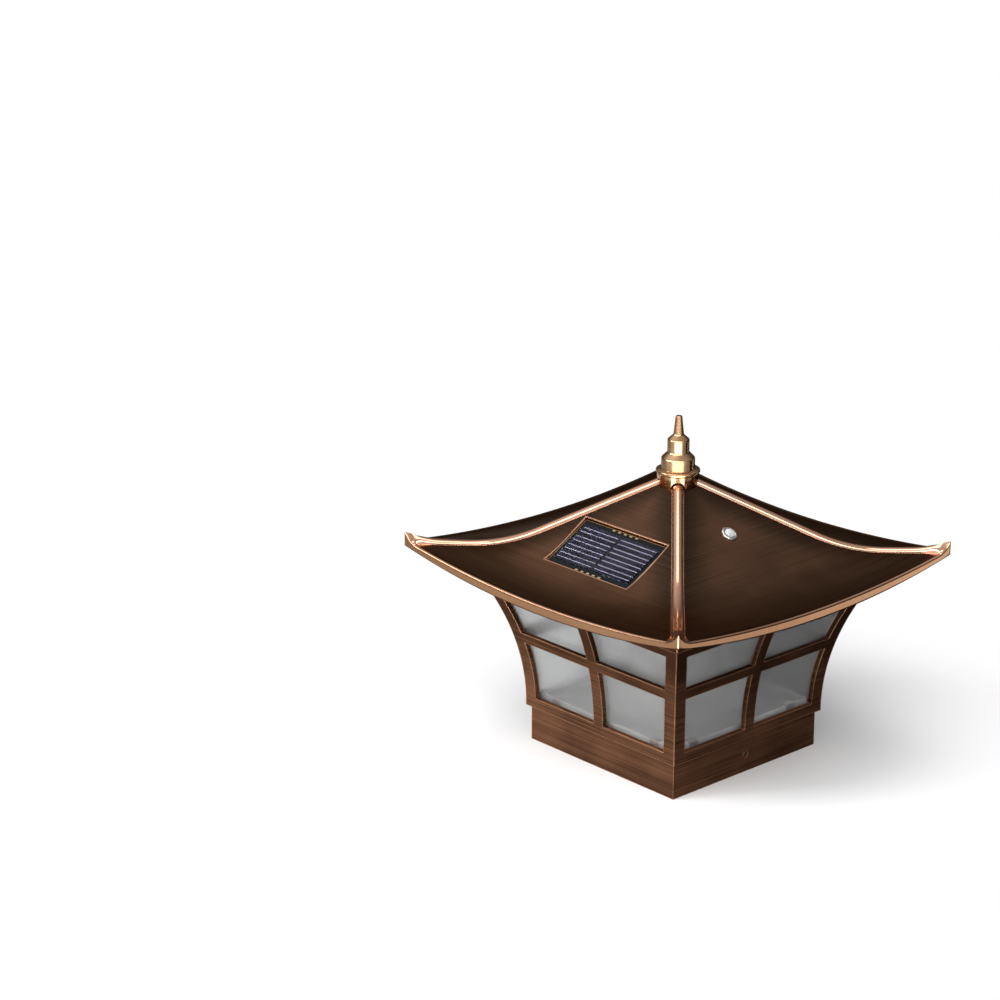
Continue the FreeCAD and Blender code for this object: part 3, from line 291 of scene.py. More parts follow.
def recess_lip(n, position, place):
    """A mask of the roof's edge round the panel recess."""
    slope = (0, math.cos(PANEL_TILT), math.sin(PANEL_TILT))
    from_middle = n.maths("SUBTRACT", n.dot(position, slope), PANEL_MIDDLE.dot(Vector(slope)) * MM)
    past_side = n.maths("SUBTRACT", n.maths("ABSOLUTE", place[0]), PANEL_HALF_WIDTH * MM)
    past_end = n.maths("SUBTRACT", n.maths("ABSOLUTE", from_middle), PANEL_HALF_LENGTH * MM)
    near = n.spread(n.maths("MAXIMUM", past_side, past_end), 0.75 * MM, 0.5 * MM)
    return n.times(near, n.maths("LESS_THAN", place[1], -10 * MM))


def roof_finish():
    """Antiqued copper of the roof: the fields keep a dark patina, rubbed brown in their middle and
    brushed along the eaves; the hip ribs, the rim of the eaves and the lip of the panel recess are
    polished bright."""
    n = new_finish("roof_copper")
    position = n.position()
    place = n.split(position)
    away_x, away_y = n.maths("ABSOLUTE", place[0]), n.maths("ABSOLUTE", place[1])
    depth, across = n.maths("MAXIMUM", away_x, away_y), n.maths("MINIMUM", away_x, away_y)
    off_hip = n.times(n.maths("SUBTRACT", depth, across), 1 / ROOT_TWO)
    side = n.maths("GREATER_THAN", away_x, away_y)
    signed = n.blend(side, place[0], place[1])
    along = n.vector(X=n.times(depth, 1300.0), Y=n.times(signed, 9.0), Z=n.times(side, 7.0))
    brushed = n.noise(1.0, 5.0, 0.6, vector=along)
    drawn = n.noise(1.0, 4.0, 0.6, vector=n.vector(X=n.times(off_hip, 1500.0), Y=n.times(depth, 22.0)))
    cloud = n.noise(17.0, 3.0, 0.5)

    outward = n.split(n.normal())[2]
    on_top = n.spread(outward, -0.25, 0.0)
    widening = n.spread(depth, 92 * MM, 102 * MM, 0.0, 2.6 * MM, smooth=True)
    reach = n.maths("SUBTRACT", off_hip, widening)
    rib = n.spread(reach, 3.3 * MM, 2.7 * MM, smooth=True)
    rim = n.spread(depth, (EAVE - 1.2) * MM, (EAVE - 0.7) * MM, smooth=True)
    lip = recess_lip(n, position, place)
    polished = n.times(n.maths("MAXIMUM", n.maths("MAXIMUM", rib, rim), lip), on_top)

    from_rib = n.spread(reach, 1.0 * MM, 20 * MM, smooth=True)
    from_eave = n.spread(depth, 103 * MM, 66 * MM, smooth=True)
    rubbed = n.times(from_rib, from_eave, n.spread(cloud, 0.34, 0.62, 0.4, 1.0))
    tone = n.maths("ADD", n.times(rubbed, 0.7), n.times(n.vary(brushed), 0.3))
    patina = n.ramp(tone, (0.0, DARK_PATINA), (1.0, RUBBED_PATINA), (0.45, MID_PATINA))
    worn = n.times(n.edge_wear(0.7 * MM, 0.5, 0.95), on_top, n.maths("SUBTRACT", 1.0, rib))
    bright = n.mix(n.spread(cloud, 0.35, 0.65, 0.0, 0.5), POLISHED, TARNISHED)
    bright = n.mix(n.spread(drawn, 0.35, 0.65, 0.0, 0.15), bright, DRAWN)
    band = n.times(n.spread(depth, (EAVE - 0.4) * MM, (EAVE - 0.1) * MM),
                   n.spread(n.maths("ABSOLUTE", outward), 0.75, 0.35))
    bright = n.mix(n.times(band, 0.8), bright, FASCIA_BAND)
    rough = n.blend(polished, n.vary(brushed, 0.27, 0.37), n.vary(drawn, 0.09, 0.15))
    relief = n.times(brushed, n.maths("SUBTRACT", 1.0, polished))
    return n.surface(Base_Color=n.mix(n.maths("MAXIMUM", polished, worn), patina, bright), Metallic=0.95,
                     Roughness=rough, Specular_Tint=EDGE_TINT,
                     Normal=n.bump(relief, 0.05, BRUSHED_DEPTH, Normal=n.soft_edges(0.25 * MM)))


def turned_finish():
    """Bright brass-copper of the finial, with fine rings from the lathe, and painted shade in its crevices.
    """
    n = new_finish("bright_copper")
    height = n.split(n.position())[2]
    rings = n.noise(1.0, 4.0, 0.6, vector=n.vector(Z=n.times(height, 2600.0)))
    base = n.mix(n.spread(n.noise(120.0), 0.35, 0.65), BRASSY, BRASSY_DARK)
    # Painted shade: ambient occlusion darkens the crevices and joints of the turned form.
    openness = n.add("AmbientOcclusion", {"samples": 6}, Distance=2.5 * MM).outputs["AO"]
    colour = n.mix(n.spread(openness, 0.35, 0.85), CREVICE_SHADE, base)
    return n.surface(Base_Color=colour, Metallic=1.0, Roughness=n.vary(rings, 0.14, 0.22),
                     Normal=n.bump(rings, 0.05, BRUSHED_DEPTH, Normal=n.soft_edges(0.2 * MM)))


def plain(name, colour, roughness, metallic=0.0, **more):
    """A moulded, painted or rubber finish with a fine grain and slight uneven tone."""
    n = new_finish(name)
    cloud = n.noise(90.0)
    shade = n.mix(n.spread(cloud, 0.35, 0.7), colour, tuple(c * 0.82 for c in colour))
    rough = n.vary(cloud, roughness - 0.05, roughness + 0.06)
    return n.surface(Base_Color=shade, Metallic=metallic, Roughness=rough,
                     Normal=n.bump(n.noise(900.0, 2.0), 0.08, GRAIN_DEPTH), **more)


def clear(name, tint, roughness, through=1.0, uneven=0.05, ior=GLASS_IOR):
    """Clear or milky resin, slightly uneven."""
    n = new_finish(name)
    cloud = n.noise(140.0)
    rough = n.vary(cloud, roughness, roughness + uneven)
    return n.surface(Base_Color=tint, Roughness=rough, IOR=ior, Transmission_Weight=through,
                     Normal=n.bump(cloud, 0.02, GRAIN_DEPTH))


def frosted_glass():
    """Fine-frosted glass, slightly uneven, that lets most of the light through."""
    n = new_finish("frosted_glass")
    cloud = n.noise(30.0)
    rough = n.vary(cloud, 0.20, 0.26)
    tint = n.mix(n.vary(cloud), (0.92, 0.93, 0.925), (0.86, 0.865, 0.87))
    return n.surface(Base_Color=tint, Roughness=rough, IOR=GLASS_IOR, Transmission_Weight=0.92,
                     Normal=n.bump(n.noise(2600.0, 2.0, 0.6), 0.03, GRAIN_DEPTH))


def silicon():
    """Dark blue-black cell with a faint crystal grain."""
    n = new_finish("cell_silicon")
    crystals = n.add("TexVoronoi", Vector=n.position(), Scale=600.0).outputs["Color"]
    grey = n.add("SeparateColor", Color=crystals).outputs[0]
    colour = n.mix(grey, (0.004, 0.004, 0.014), (0.009, 0.008, 0.026))
    rough = n.spread(grey, 0.0, 1.0, 0.30, 0.33)
    return n.surface(Base_Color=colour, Roughness=rough, Specular_IOR_Level=0.1)


def materials():
    """Makes the finishes and gives each CAD node the one that its own material names."""
    made = {
        "roof_copper": roof_finish(),
        "body_copper": copper("body_copper", (0.058, 0.026, 0.0145), (0.255, 0.117, 0.062),
                              (0.70, 0.36, 0.205), 0.8, 0.33, (14, 14, 1300)),
        "bright_copper": turned_finish(),
        "frosted_glass": frosted_glass(),
        "clear_lens": clear("clear_lens", (0.97, 0.98, 0.98), 0.03),
        "white_plastic": plain("white_plastic", (0.72, 0.72, 0.70), 0.45),
        "black_plastic": plain("black_plastic", (0.02, 0.02, 0.021), 0.42),
        "opal_plastic": plain("opal_plastic", (0.90, 0.90, 0.88), 0.38, Transmission_Weight=0.3),
        "steel": plain("steel", (0.56, 0.56, 0.55), 0.3, 1.0),
        "bezel_metal": plain("bezel_metal", (0.62, 0.62, 0.60), 0.26, 1.0),
        "gasket_rubber": plain("gasket_rubber", (0.016, 0.016, 0.016), 0.7),
        "panel_board": plain("panel_board", (0.005, 0.006, 0.008), 0.32, Specular_IOR_Level=0.12),
        "cell_silicon": silicon(),
        "pad_gold": plain("pad_gold", (0.80, 0.60, 0.30), 0.3, 1.0),
        "battery_sleeve": plain("battery_sleeve", (0.05, 0.22, 0.12), 0.35),
        "circuit_green": plain("circuit_green", (0.02, 0.13, 0.05), 0.4),
        "emitter_yellow": plain("emitter_yellow", (0.85, 0.66, 0.12), 0.4),
    }
    for node in nodes.values():
        for slot in node.material_slots:
            wanted = slot.material.name.split(".")[0] if slot.material else ""
            if wanted in made:
                slot.material = made[wanted]
    return made


# ---------------------------------------------------------------- mesh helpers

def mesh_object(name, points, faces):
    """An object from points in millimetres, with its faces turned outwards."""
    mesh = bpy.data.meshes.new(name)
    mesh.from_pydata([tuple(c * MM for c in p) for p in points], [], faces)
    work = bmesh.new()
    work.from_mesh(mesh)
    bmesh.ops.recalc_face_normals(work, faces=work.faces)
    work.to_mesh(mesh)
    work.free()
    item = bpy.data.objects.new(name, mesh)
    scene.collection.objects.link(item)
    return item


def finish_piece(item, material, replaced=(), sharp=35):
    """Smooth shading with sharp creases, a finish, and a body to ride on."""
    item.data.materials.clear()
    item.data.materials.append(material)
    for face in item.data.polygons:
        face.use_smooth = True
    item.data.set_sharp_from_angle(angle=math.radians(sharp))
    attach(item, BODY)
    if replaced:
        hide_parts(*replaced)


def apply_modifiers(item):
    bpy.context.view_layer.update()
    result = bpy.data.meshes.new_from_object(item.evaluated_get(bpy.context.evaluated_depsgraph_get()))
    item.modifiers.clear()
    old = item.data
    item.data = result
    bpy.data.meshes.remove(old)


def carve(item, operation, tool):
    """Joins a tool solid to an object or takes it away, and drops the tool."""
    step = item.modifiers.new("carve", "BOOLEAN")
    step.operation, step.solver, step.object = operation, "EXACT", tool
    apply_modifiers(item)
    bpy.data.objects.remove(tool)


def box_points(xs, ys, zs, to_world):
    return [to_world(x, y, z) for x in xs for y in ys for z in zs]


BOX_FACES = [(0, 1, 3, 2), (4, 6, 7, 5), (0, 4, 5, 1), (2, 3, 7, 6), (0, 2, 6, 4), (1, 5, 7, 3)]


def circle(radius, height, to_world, steps):
    turns = [2 * math.pi * step / steps for step in range(steps)]
    return [to_world(radius * math.cos(turn), radius * math.sin(turn), height) for turn in turns]


def closed_faces(rows, count):
    """Faces over rows of points; the last row joins the first, and each row's end its start."""
    faces = []
    for row in range(rows):
        here, there = row * count, (row + 1) % rows * count
        for step in range(count):
            after = (step + 1) % count
            faces.append((here + step, here + after, there + after, there + step))
    return faces


def lathe(name, outline, to_world, steps):
    """A turned solid from (radius, height) points; the first and last lie on the axis."""
    points, faces = [to_world(0, 0, outline[0][1]), to_world(0, 0, outline[-1][1])], []
    rings = outline[1:-1]
    for radius, height in rings:
        points += circle(radius, height, to_world, steps)
    for step in range(steps):
        after = (step + 1) % steps
        faces.append((0, 2 + after, 2 + step))
        last = 2 + (len(rings) - 1) * steps
        faces.append((1, last + step, last + after))
        for row in range(len(rings) - 1):
            start = 2 + row * steps
            faces.append((start + step, start + after, start + steps + after, start + steps + step))
    return mesh_object(name, points, faces)


def as_it_is(x, y, z):
    return Vector((x, y, z))


def on_panel(x, y, z):
    """A point in the panel's frame: X across, Y up the slope, Z out of the roof."""
    sine, cosine = math.sin(PANEL_TILT), math.cos(PANEL_TILT)
    return PANEL_MIDDLE + Vector((x, y * cosine - z * sine, y * sine + z * cosine))


def on_sensor(x, y, z):
    """A point in the light sensor's frame, Z out of the right roof face."""
    sine, cosine = math.sin(SENSOR_TILT), math.cos(SENSOR_TILT)
    height = APEX - SLOPE * SENSOR_PLACE
    return Vector((SENSOR_PLACE + x * cosine + z * sine, y, height - x * sine + z * cosine))


# ---------------------------------------------------------------- roof casting

class Fall:
    """A height that falls straight, turns on one arc and runs out straight. Its arc is drawn in the
    upright plane that it runs in, where a distance from the centre counts `stretch` times."""

    def __init__(self, start, radius, end_degrees, stretch):
        self.stretch, self.slope = stretch, SLOPE / stretch
        self.start, self.radius = start * stretch, radius
        first, self.last = -math.atan(self.slope), math.radians(end_degrees)
        self.middle = self.start - radius * math.sin(first)
        self.level = APEX - self.slope * self.start + radius * math.cos(first)
        self.end = self.middle + radius * math.sin(self.last)

    def height(self, distance):
        along = distance * self.stretch
        if along <= self.start:
            return APEX - self.slope * along
        if along <= self.end:
            return self.level - math.sqrt(self.radius ** 2 - (along - self.middle) ** 2)
        return self.level - self.radius * math.cos(self.last) + (along - self.end) * math.tan(self.last)


FACE = Fall(FACE_START, FACE_RADIUS, FACE_END_DEGREES, 1)
HIP = Fall(HIP_START, HIP_RADIUS, HIP_END_DEGREES, ROOT_TWO)
TIP_START = ROOT_TWO * TIP_DEPTH


def smooth(value, low, high):
    t = min(max((value - low) / (high - low), 0.0), 1.0)
    return t * t * (3 - 2 * t)


def soft_max(a, b, reach):
    near = max(reach - abs(a - b), 0.0)
    return max(a, b) + near * near / (4 * reach)


def field(depth, across):
    """The roof face: each level line rises from the middle to the hips as a parabola."""
    middle = FACE.height(depth)
    return middle + (HIP.height(depth) - middle) * (across / depth) ** 2


def crest(along):
    """Top line of a hip rib, at a distance from the centre along the hip, with its upturned tip."""
    z = HIP.height(along / ROOT_TWO)
    if along > TIP_START:
        swept = along - TIP_START + TIP_RADIUS * math.sin(HIP.last)
        rise = TIP_RADIUS * math.cos(HIP.last) - math.sqrt(TIP_RADIUS ** 2 - swept ** 2)
        z = HIP.height(TIP_DEPTH) + rise
    proud = RIB_PROUD * (1 + RIB_SWELL * smooth(along, *SWELL_SPAN))
    return z + proud - TIP_DROP * smooth(along, *DROP_SPAN)


def rib_half(along):
    wider = RIB_WIDER * smooth(along, *WIDER_SPAN)
    return RIB_HALF + wider + FOOT_WIDER * smooth(along, *FOOT_SPAN) ** FOOT_POWER


def casting(x, y):
    """Height of the cast roof: its faces, the round hip ribs and the rolled rim of the eaves."""
    depth, across = max(abs(x), abs(y)), min(abs(x), abs(y))
    along, off = (depth + across) / ROOT_TWO, (depth - across) / ROOT_TWO
    half = rib_half(along)
    foot = field((along + half) / ROOT_TWO, (along - half) / ROOT_TWO) - GROOVE
    u = off / half
    if u < 1:
        round_top = math.sqrt(1 - u * u)
        bell = (1 - u) ** 2 * (1 + BELL_BULGE * u)
        section = round_top + (bell - round_top) * smooth(along, *BELL_SPAN)
        rib = foot + (crest(along) - foot) * section
    else:
        rib = foot - RIB_DIVE * (off - half)
    face = field(depth, across)
    inward = EAVE - depth
    v = (inward - RIM_WIDTH / 2) / (RIM_WIDTH / 2 + RIM_OVERLAP)
    rim = face - GROOVE
    rim += RIM_RISE * math.sqrt(1 - v * v) if abs(v) < 1 else -RIM_DIVE * (inward - RIM_WIDTH)
    top = soft_max(rib, rim, MELT)
    return top if u <= ON_RIB or inward <= RIM_WIDTH else max(top, face)


RIB_COLUMNS = (0, 0.06, 0.15, 0.3, 0.45, 0.6, 0.74, 0.86, 0.95, 1.0)
FIELD_COLUMNS = 14
FIELD_GAP, FIELD_GAP_SHARE = 0.5, 0.04
SETTLING_ROUNDS = 6


def half_columns(depth):
    """Distances from the middle line of a face out to its hip, closer together by the rib."""
    outer = []
    for u in RIB_COLUMNS:
        off = 0.0
        for _ in range(SETTLING_ROUNDS):
            off = u * min(rib_half(ROOT_TWO * depth - off), depth / 2)
        outer.append(depth - ROOT_TWO * off)
    edge = outer[-1] - min(FIELD_GAP, FIELD_GAP_SHARE * depth)
    inner = [edge * math.sin(math.pi / 2 * step / FIELD_COLUMNS) for step in range(FIELD_COLUMNS, -1, -1)]
    return outer + inner


def turned(x, y, quarters):
    """A point turned about the centre by quarter turns."""
    for _ in range(quarters):
        x, y = -y, x
    return x, y


def ring(depth, height, rounding=0.0):
    """Points round a square at a depth; `height` takes x, y and the distance along the side."""
    half = half_columns(depth)
    across = [-a for a in half] + half[-2:0:-1]
    points = []
    for quarter in range(4):
        for a in across:
            x, y = a, -depth
            if rounding and abs(a) > depth - rounding:
                corner = Vector((math.copysign(depth - rounding, a), rounding - depth))
                out = (Vector((x, y)) - corner).normalized() * rounding
                x, y = corner + out
            points.append((*turned(x, y, quarter), height(x, y, abs(a))))
    return points


def roof_rings():
    """Rings over the top, down the fascia and back along the underside, which close on themselves."""
    bow = FASCIA_CORNER - FASCIA_LOW
    arc_radius = (EAVE ** 2 + bow ** 2) / (2 * bow)

    def low(a):
        """Lower edge of the fascia, an arc that rises to the corners."""
        return FASCIA_LOW + arc_radius - math.sqrt(arc_radius * arc_radius - a * a)

    def on_top(x, y, a):
        return casting(x, y)

    def up_fascia(share):
        return lambda x, y, a: low(a) + share * (casting(x, y) - low(a))

    def lifted(lift):
        return lambda x, y, a: low(a) + lift

    def under(x, y, a):
        return field(max(abs(x), abs(y)), min(abs(x), abs(y))) - WALL

    inside = EAVE - FASCIA_THICK
    tops = [BORE_HALF, 6, 9, 12, 16, 21, 27, 33, 39, 44]
    tops += [46 + 2.9 * step for step in range(16)]
    tops += [91.0, 92.6, 94.0, 95.4, 96.6, 97.8, 98.9, 99.8]
    tops += [EAVE - inward for inward in (2.15, RIM_WIDTH, 1.7, 1.4, 1.0, 0.6, 0.3, 0.1)]
    rings = [ring(depth, on_top, CORNER_ROUNDING if depth > ROUNDED_FROM else 0.0) for depth in tops]
    rings += [ring(EAVE, up_fascia(share), CORNER_ROUNDING) for share in (0.97, 0.8, 0.5, 0.2)]
    foot = ((EAVE, 0.35), (EAVE - 0.12, 0.1), (EAVE - 0.4, 0.0), (inside + 0.4, 0.0), (inside, 0.3))
    rings += [ring(depth, lifted(lift), CORNER_ROUNDING) for depth, lift in foot]
    unders = (inside, 96, 90, 84, 78, 72, 66, 60, 54, 46, 36, 24, 12, BORE_HALF)
    return rings + [ring(depth, under) for depth in unders]


def neck():
    """The square wall under the roof that sits on the crown."""
    points = []
    inner = NECK_HALF - NECK_WALL
    for half, at_bottom in ((NECK_HALF, True), (NECK_HALF, False), (inner, False), (inner, True)):
        for quarter in range(4):
            for step in range(-NECK_STEPS, NECK_STEPS):
                a = half * (step / NECK_STEPS)
                z = NECK_BOTTOM if at_bottom else field(half, abs(a)) - WALL / 2
                points.append((*turned(a, -half, quarter), z))
    return mesh_object("neck", points, closed_faces(4, 8 * NECK_STEPS))


def make_roof(finish):
    rings = roof_rings()
    roof = mesh_object("roof_casting", [p for row in rings for p in row],
                       closed_faces(len(rings), len(rings[0])))
    carve(roof, "UNION", neck())

    wide, long = PANEL_HALF_WIDTH + TRAY_WALL, PANEL_HALF_LENGTH + TRAY_WALL
    tray = box_points((-wide, wide), (-long, long), (-PANEL_DEPTH - TRAY_FLOOR, -TRAY_TOP), on_panel)
    carve(roof, "UNION", mesh_object("tray", tray, BOX_FACES))
    recess = box_points((-PANEL_HALF_WIDTH, PANEL_HALF_WIDTH), (-PANEL_HALF_LENGTH, PANEL_HALF_LENGTH),
                        (-PANEL_DEPTH, RECESS_CUT), on_panel)
    carve(roof, "DIFFERENCE", mesh_object("recess", recess, BOX_FACES))
    bore = LENS_RADIUS + LENS_GAP
    hole = [(0, -SENSOR_CUT), (bore, -SENSOR_CUT), (bore, SENSOR_CUT), (0, SENSOR_CUT)]
    carve(roof, "DIFFERENCE", lathe("sensor_hole", hole, on_sensor, SMALL_ROUND))
    finish_piece(roof, finish, ["roof_shell"])


# ---------------------------------------------------------------- finial, light sensor and panel details

def on_rib(bearing):
    """The frame of a rib under the finial: X to its side, Y out of the roof, Z down the rib."""
    fall = math.atan(SLOPE / ROOT_TWO)
    out = Vector((math.cos(bearing), math.sin(bearing), 0))
    side = Vector((-math.sin(bearing), math.cos(bearing), 0))
    down = (out * math.cos(fall) - Vector((0, 0, math.sin(fall)))).normalized()
    up = down.cross(side)
    start = out * ARCH_START + Vector((0, 0, crest(ARCH_START) - ARCH_SUNK))
    return lambda x, y, z: start + side * x + up * y + down * z


def make_finial(finish):
    finial = lathe("finial_turned", FINIAL, as_it_is, LARGE_ROUND)
    arch = [(0, 0), (ARCH_RADIUS, 0), (ARCH_RADIUS, ARCH_LENGTH), (0, ARCH_LENGTH)]
    for quarter in range(4):
        frame_of_rib = on_rib(math.radians(45 + 90 * quarter))
        carve(finial, "DIFFERENCE", lathe("notch", arch, frame_of_rib, ARCH_ROUND))
    finish_piece(finial, finish, ["finial"])


def make_sensor(ring_finish, dome_finish):
    inner = LENS_RADIUS + LENS_GAP
    profile = [(inner, 0.0), (BEZEL_RADIUS - 0.1, 0.0), (BEZEL_RADIUS, 0.12), (BEZEL_RADIUS, 0.45),
               (BEZEL_RADIUS - 0.25, 0.7), (BEZEL_RADIUS - 0.6, BEZEL_THICK), (inner + 0.35, BEZEL_THICK),
               (inner + 0.1, 0.7), (inner, 0.5)]
    points = [p for radius, height in profile for p in circle(radius, height, on_sensor, MIDDLE_ROUND)]
    bezel = mesh_object("sensor_ring", points, closed_faces(len(profile), MIDDLE_ROUND))
    finish_piece(bezel, ring_finish, ["sensor_bezel"])

    dome = [(0, LENS_FOOT), (LENS_RADIUS, LENS_FOOT), (LENS_RADIUS, BEZEL_THICK)]
    for step in range(1, DOME_STEPS):
        turn = math.pi / 2 * step / DOME_STEPS
        dome.append((LENS_RADIUS * math.cos(turn), BEZEL_THICK + LENS_RISE * math.sin(turn)))
    dome.append((0, BEZEL_THICK + LENS_RISE))
    lens = lathe("sensor_dome", dome, on_sensor, SMALL_ROUND)
    finish_piece(lens, dome_finish, ["sensor_lens"], sharp=50)


def strips(name, boxes, finish):
    points, faces = [], []
    for xs, ys, zs in boxes:
        start = len(points)
        points += box_points(xs, ys, zs, on_panel)
        faces += [tuple(start + corner for corner in face) for face in BOX_FACES]
    finish_piece(mesh_object(name, points, faces), finish)


def make_cover(finish):
    """Clear sheet over the cells, with softened edges, resting just above their printed lines."""
    wide = CELL_COLUMN + CELL_HALF_WIDTH + COVER_MARGIN
    long = CELL_ROWS[-1] * CELL_PITCH + CELL_HALF_LENGTH + COVER_MARGIN
    heights = (CELL_TOP + COVER_LIFT, CELL_TOP + COVER_TOP)
    cover = mesh_object("cover_sheet", box_points((-wide, wide), (-long, long), heights, on_panel), BOX_FACES)
    soften = cover.modifiers.new("soften", "BEVEL")
    soften.width, soften.segments = COVER_EDGE * MM, 3
    apply_modifiers(cover)
    finish_piece(cover, finish, ["solar_cover"])


def make_panel_details(line_finish, gold_finish):
    """Two printed lines along each cell, and the gold trace round the board."""
    lines = []
    for column in (-CELL_COLUMN, CELL_COLUMN):
        for row in CELL_ROWS:
            for shift in (-LINE_SHIFT, LINE_SHIFT):
                y = row * CELL_PITCH + shift
                lines.append(((column - LINE_HALF_LENGTH, column + LINE_HALF_LENGTH),
                              (y - LINE_HALF_WIDTH, y + LINE_HALF_WIDTH), (CELL_TOP, CELL_TOP + LINE_HEIGHT)))
    strips("cell_lines", lines, line_finish)

    wide, long = PANEL_HALF_WIDTH - TRACE_INSET, PANEL_HALF_LENGTH - TRACE_INSET
    heights = (BOARD_TOP, BOARD_TOP + TRACE_HEIGHT)
    between = (TRACE_WIDTH + TRACE_GAP - long, long - TRACE_UPPER - TRACE_GAP)
    trace = [((-wide, wide), (long - TRACE_UPPER, long), heights),
             ((-wide, wide), (-long, TRACE_WIDTH - long), heights),
             ((-wide, TRACE_WIDTH - wide), between, heights),
             ((wide - TRACE_WIDTH, wide), between, heights)]
    strips("board_trace", trace, gold_finish)


# ---------------------------------------------------------------- stage, in metres

TOWARDS_CAMERA = (math.sin(AZIMUTH), -math.cos(AZIMUTH), 0)
TOWARDS_LEFT = (-math.cos(AZIMUTH), -math.sin(AZIMUTH), 0)
WHITE = (1, 1, 1)
FLOOR_SIZE, FLOOR_GREY = 24, (0.92, 0.92, 0.92)
SHADOW_ENDS = (0.10, 0.25)
MIRRORED_COVER = 0.95
# Bright places of the floor in reflections: where each starts and ends, and how bright it is.
AHEAD_START, AHEAD_SIDES, AHEAD_GLOW = (0.20, 0.30), (0.60, 0.85), (0.04, 6.0)
BESIDE_START, BESIDE_END, BESIDE_GLOW = (-0.05, 0.11), (0.36, 0.55), (0.0, 0.78)
CARD_NEAR, CARD_FAR, CARD_SIDE = (0.245, 0.275), (0.36, 0.33), (0.0, 0.06)
CARD_LENGTH, CARD_GLOW = (0.0, 0.30), (0.6, 1.4)


def floor_room(n, place, away):
    """What metal sees on the floor: a bright field in front, a less bright one to the left, and a
    bright card to the right, which the right fascia mirrors."""
    front, left = n.dot(place, TOWARDS_CAMERA), n.dot(place, TOWARDS_LEFT)
    aside = n.maths("DIVIDE", n.maths("ABSOLUTE", left), n.maths("MAXIMUM", front, 0.05))
    ahead = n.times(n.spread(front, *AHEAD_START, *AHEAD_GLOW, smooth=True),
                    n.spread(aside, *AHEAD_SIDES, 1.0, 0.06, smooth=True))
    beside = n.times(n.spread(left, *BESIDE_START, *BESIDE_GLOW, smooth=True),
                     n.spread(away, *BESIDE_END, 1.0, 0.4, smooth=True))
    spot = n.split(place)
    card = n.times(n.spread(spot[0], *CARD_NEAR, smooth=True), n.spread(spot[0], *CARD_FAR, smooth=True),
                   n.spread(spot[1], *CARD_SIDE, smooth=True),
                   n.spread(spot[1], *CARD_LENGTH, *CARD_GLOW))
    return n.maths("ADD", n.maths("ADD", ahead, card), beside)


def make_floor():
    """A pale floor that takes the object's shadow and runs out to white behind it. In reflections it
    looks like a room. From below it is not there, so that the underside of the object can be seen
    and lit."""
    bpy.ops.mesh.primitive_plane_add(size=FLOOR_SIZE)
    floor = bpy.context.object
    floor.name = "floor"
    n = new_finish("floor_finish")
    path = n.add("LightPath").outputs
    mirrored = path["Is Glossy Ray"]
    direct = n.maths("MAXIMUM", path["Is Camera Ray"], path["Is Transmission Ray"])
    seen = n.maths("MAXIMUM", direct, mirrored)
    place = n.position()
    away = n.add("VectorMath", {"operation": "LENGTH"}, i0=place).outputs["Value"]
    strength = n.blend(mirrored, 1.0, floor_room(n, place, away))
    cover = n.maths("MAXIMUM", n.times(seen, n.spread(away, *SHADOW_ENDS, smooth=True)),
                    n.times(mirrored, MIRRORED_COVER))
    matt = n.add("BsdfDiffuse", Color=FLOOR_GREY).outputs[0]
    white = n.add("Emission", Color=WHITE, Strength=strength).outputs[0]
    from_above = n.add("MixShader", i0=cover, i1=matt, i2=white).outputs[0]
    below = n.maths("MAXIMUM", n.add("NewGeometry").outputs["Backfacing"], path["Is Shadow Ray"])
    nothing = n.add("BsdfTransparent").outputs[0]
    floor.data.materials.append(n.show(n.add("MixShader", i0=below, i1=from_above, i2=nothing).outputs[0]))


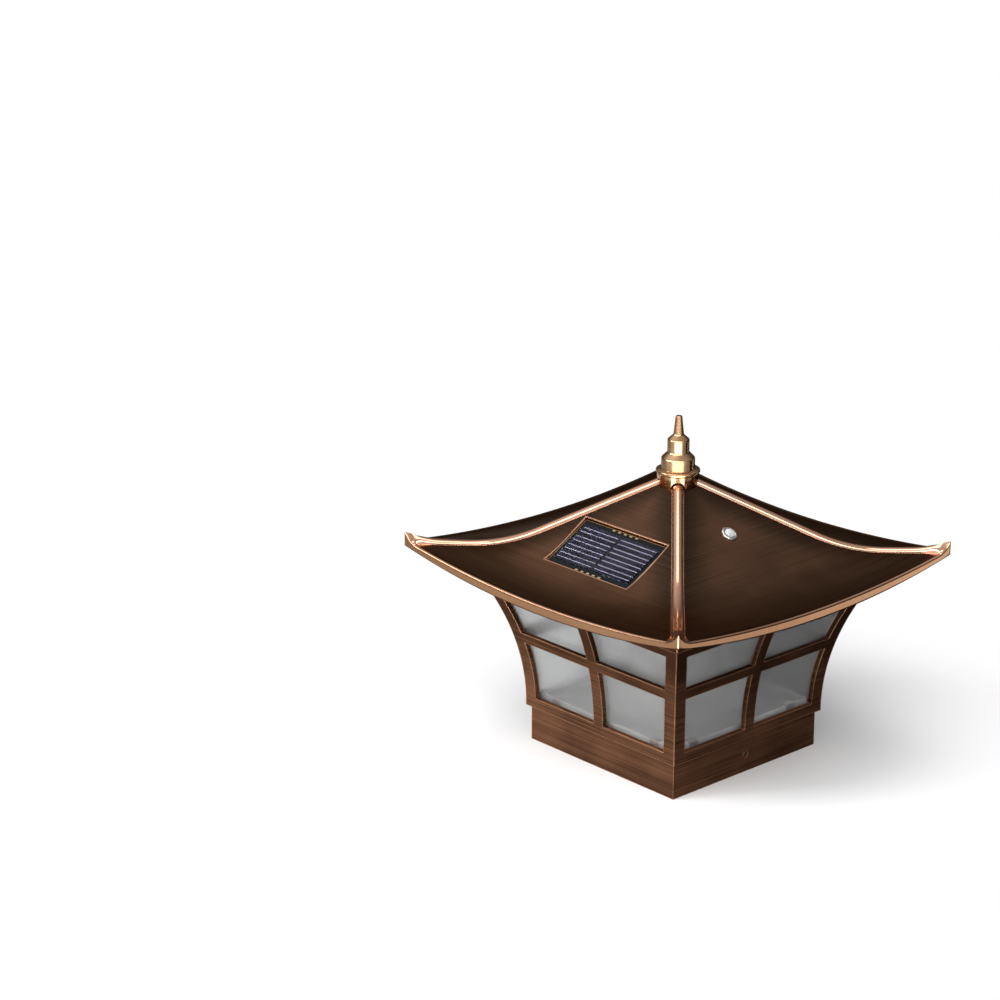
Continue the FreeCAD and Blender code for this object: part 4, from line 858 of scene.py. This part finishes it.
def make_world():
    """White behind the object, at half strength through glass. For light and reflections it is a room:
    brighter in front, to the left and above, dim behind and below."""
    world = bpy.data.worlds.new("world")
    scene.world = world
    n = Nodes(world)
    direction = n.add("TexCoord").outputs["Generated"]
    up = n.split(direction)[2]
    above = n.spread(up, 0.30, 0.9, 0.07, 0.44, smooth=True)
    left = n.times(n.spread(n.dot(direction, TOWARDS_LEFT), -0.2, 0.8, 0.0, 0.42, smooth=True),
                   n.spread(up, 0.2, 0.7, smooth=True))
    front = n.times(n.spread(n.dot(direction, TOWARDS_CAMERA), 0.25, 0.8, 0.0, 0.80, smooth=True),
                    n.spread(up, 0.5, 0.8, 1.0, 0.2, smooth=True),
                    n.spread(up, -0.12, 0.0, 0.1, 1.0, smooth=True))
    glow = n.maths("ADD", above, n.maths("ADD", left, front))
    room = n.add("Background", Color=WHITE, Strength=glow).outputs[0]
    white = n.add("Background", Color=WHITE, Strength=1.0).outputs[0]
    path = n.add("LightPath").outputs
    seen = n.maths("MAXIMUM", path["Is Camera Ray"], n.times(path["Is Transmission Ray"], 0.5))
    n.show(n.add("MixShader", i0=seen, i1=room, i2=white).outputs[0], "OutputWorld")


def area_light(name, place, aim, size, watts):
    data = bpy.data.lights.new(name, "AREA")
    data.shape, data.size, data.size_y = "RECTANGLE", size[0], size[1]
    data.energy = watts
    light = bpy.data.objects.new(name, data)
    light.location = place
    light.rotation_euler = (Vector(aim) - Vector(place)).to_track_quat("-Z", "Y").to_euler()
    scene.collection.objects.link(light)


def make_lights():
    area_light("front", place=(0.44, -0.80, 1.18), aim=(0, 0, 0.1), size=(2.6, 0.38), watts=22)
    area_light("key", place=(-0.70, -1.08, 0.70), aim=(0, 0, 0.06), size=(0.6, 0.6), watts=10)
    area_light("top", place=(-0.15, 0.15, 1.6), aim=(0, 0, 0.1), size=(0.8, 0.8), watts=5)
    area_light("under", place=(0.1, -0.15, -0.9), aim=(0, 0, 0), size=(0.8, 0.8), watts=0.8)


# ---------------------------------------------------------------- build

make_camera()
finishes = materials()
make_roof(finishes["roof_copper"])
make_finial(finishes["bright_copper"])
make_sensor(finishes["bezel_metal"], clear("milky_lens", (0.86, 0.86, 0.85), 0.06, through=0.45))
make_cover(clear("cover_resin", (0.95, 0.95, 0.96), 0.004, uneven=0.01, ior=1.15))
make_panel_details(plain("cell_lines", (0.26, 0.245, 0.32), 0.35), finishes["pad_gold"])
make_floor()
make_world()
make_lights()

scene.view_settings.view_transform = "Standard"
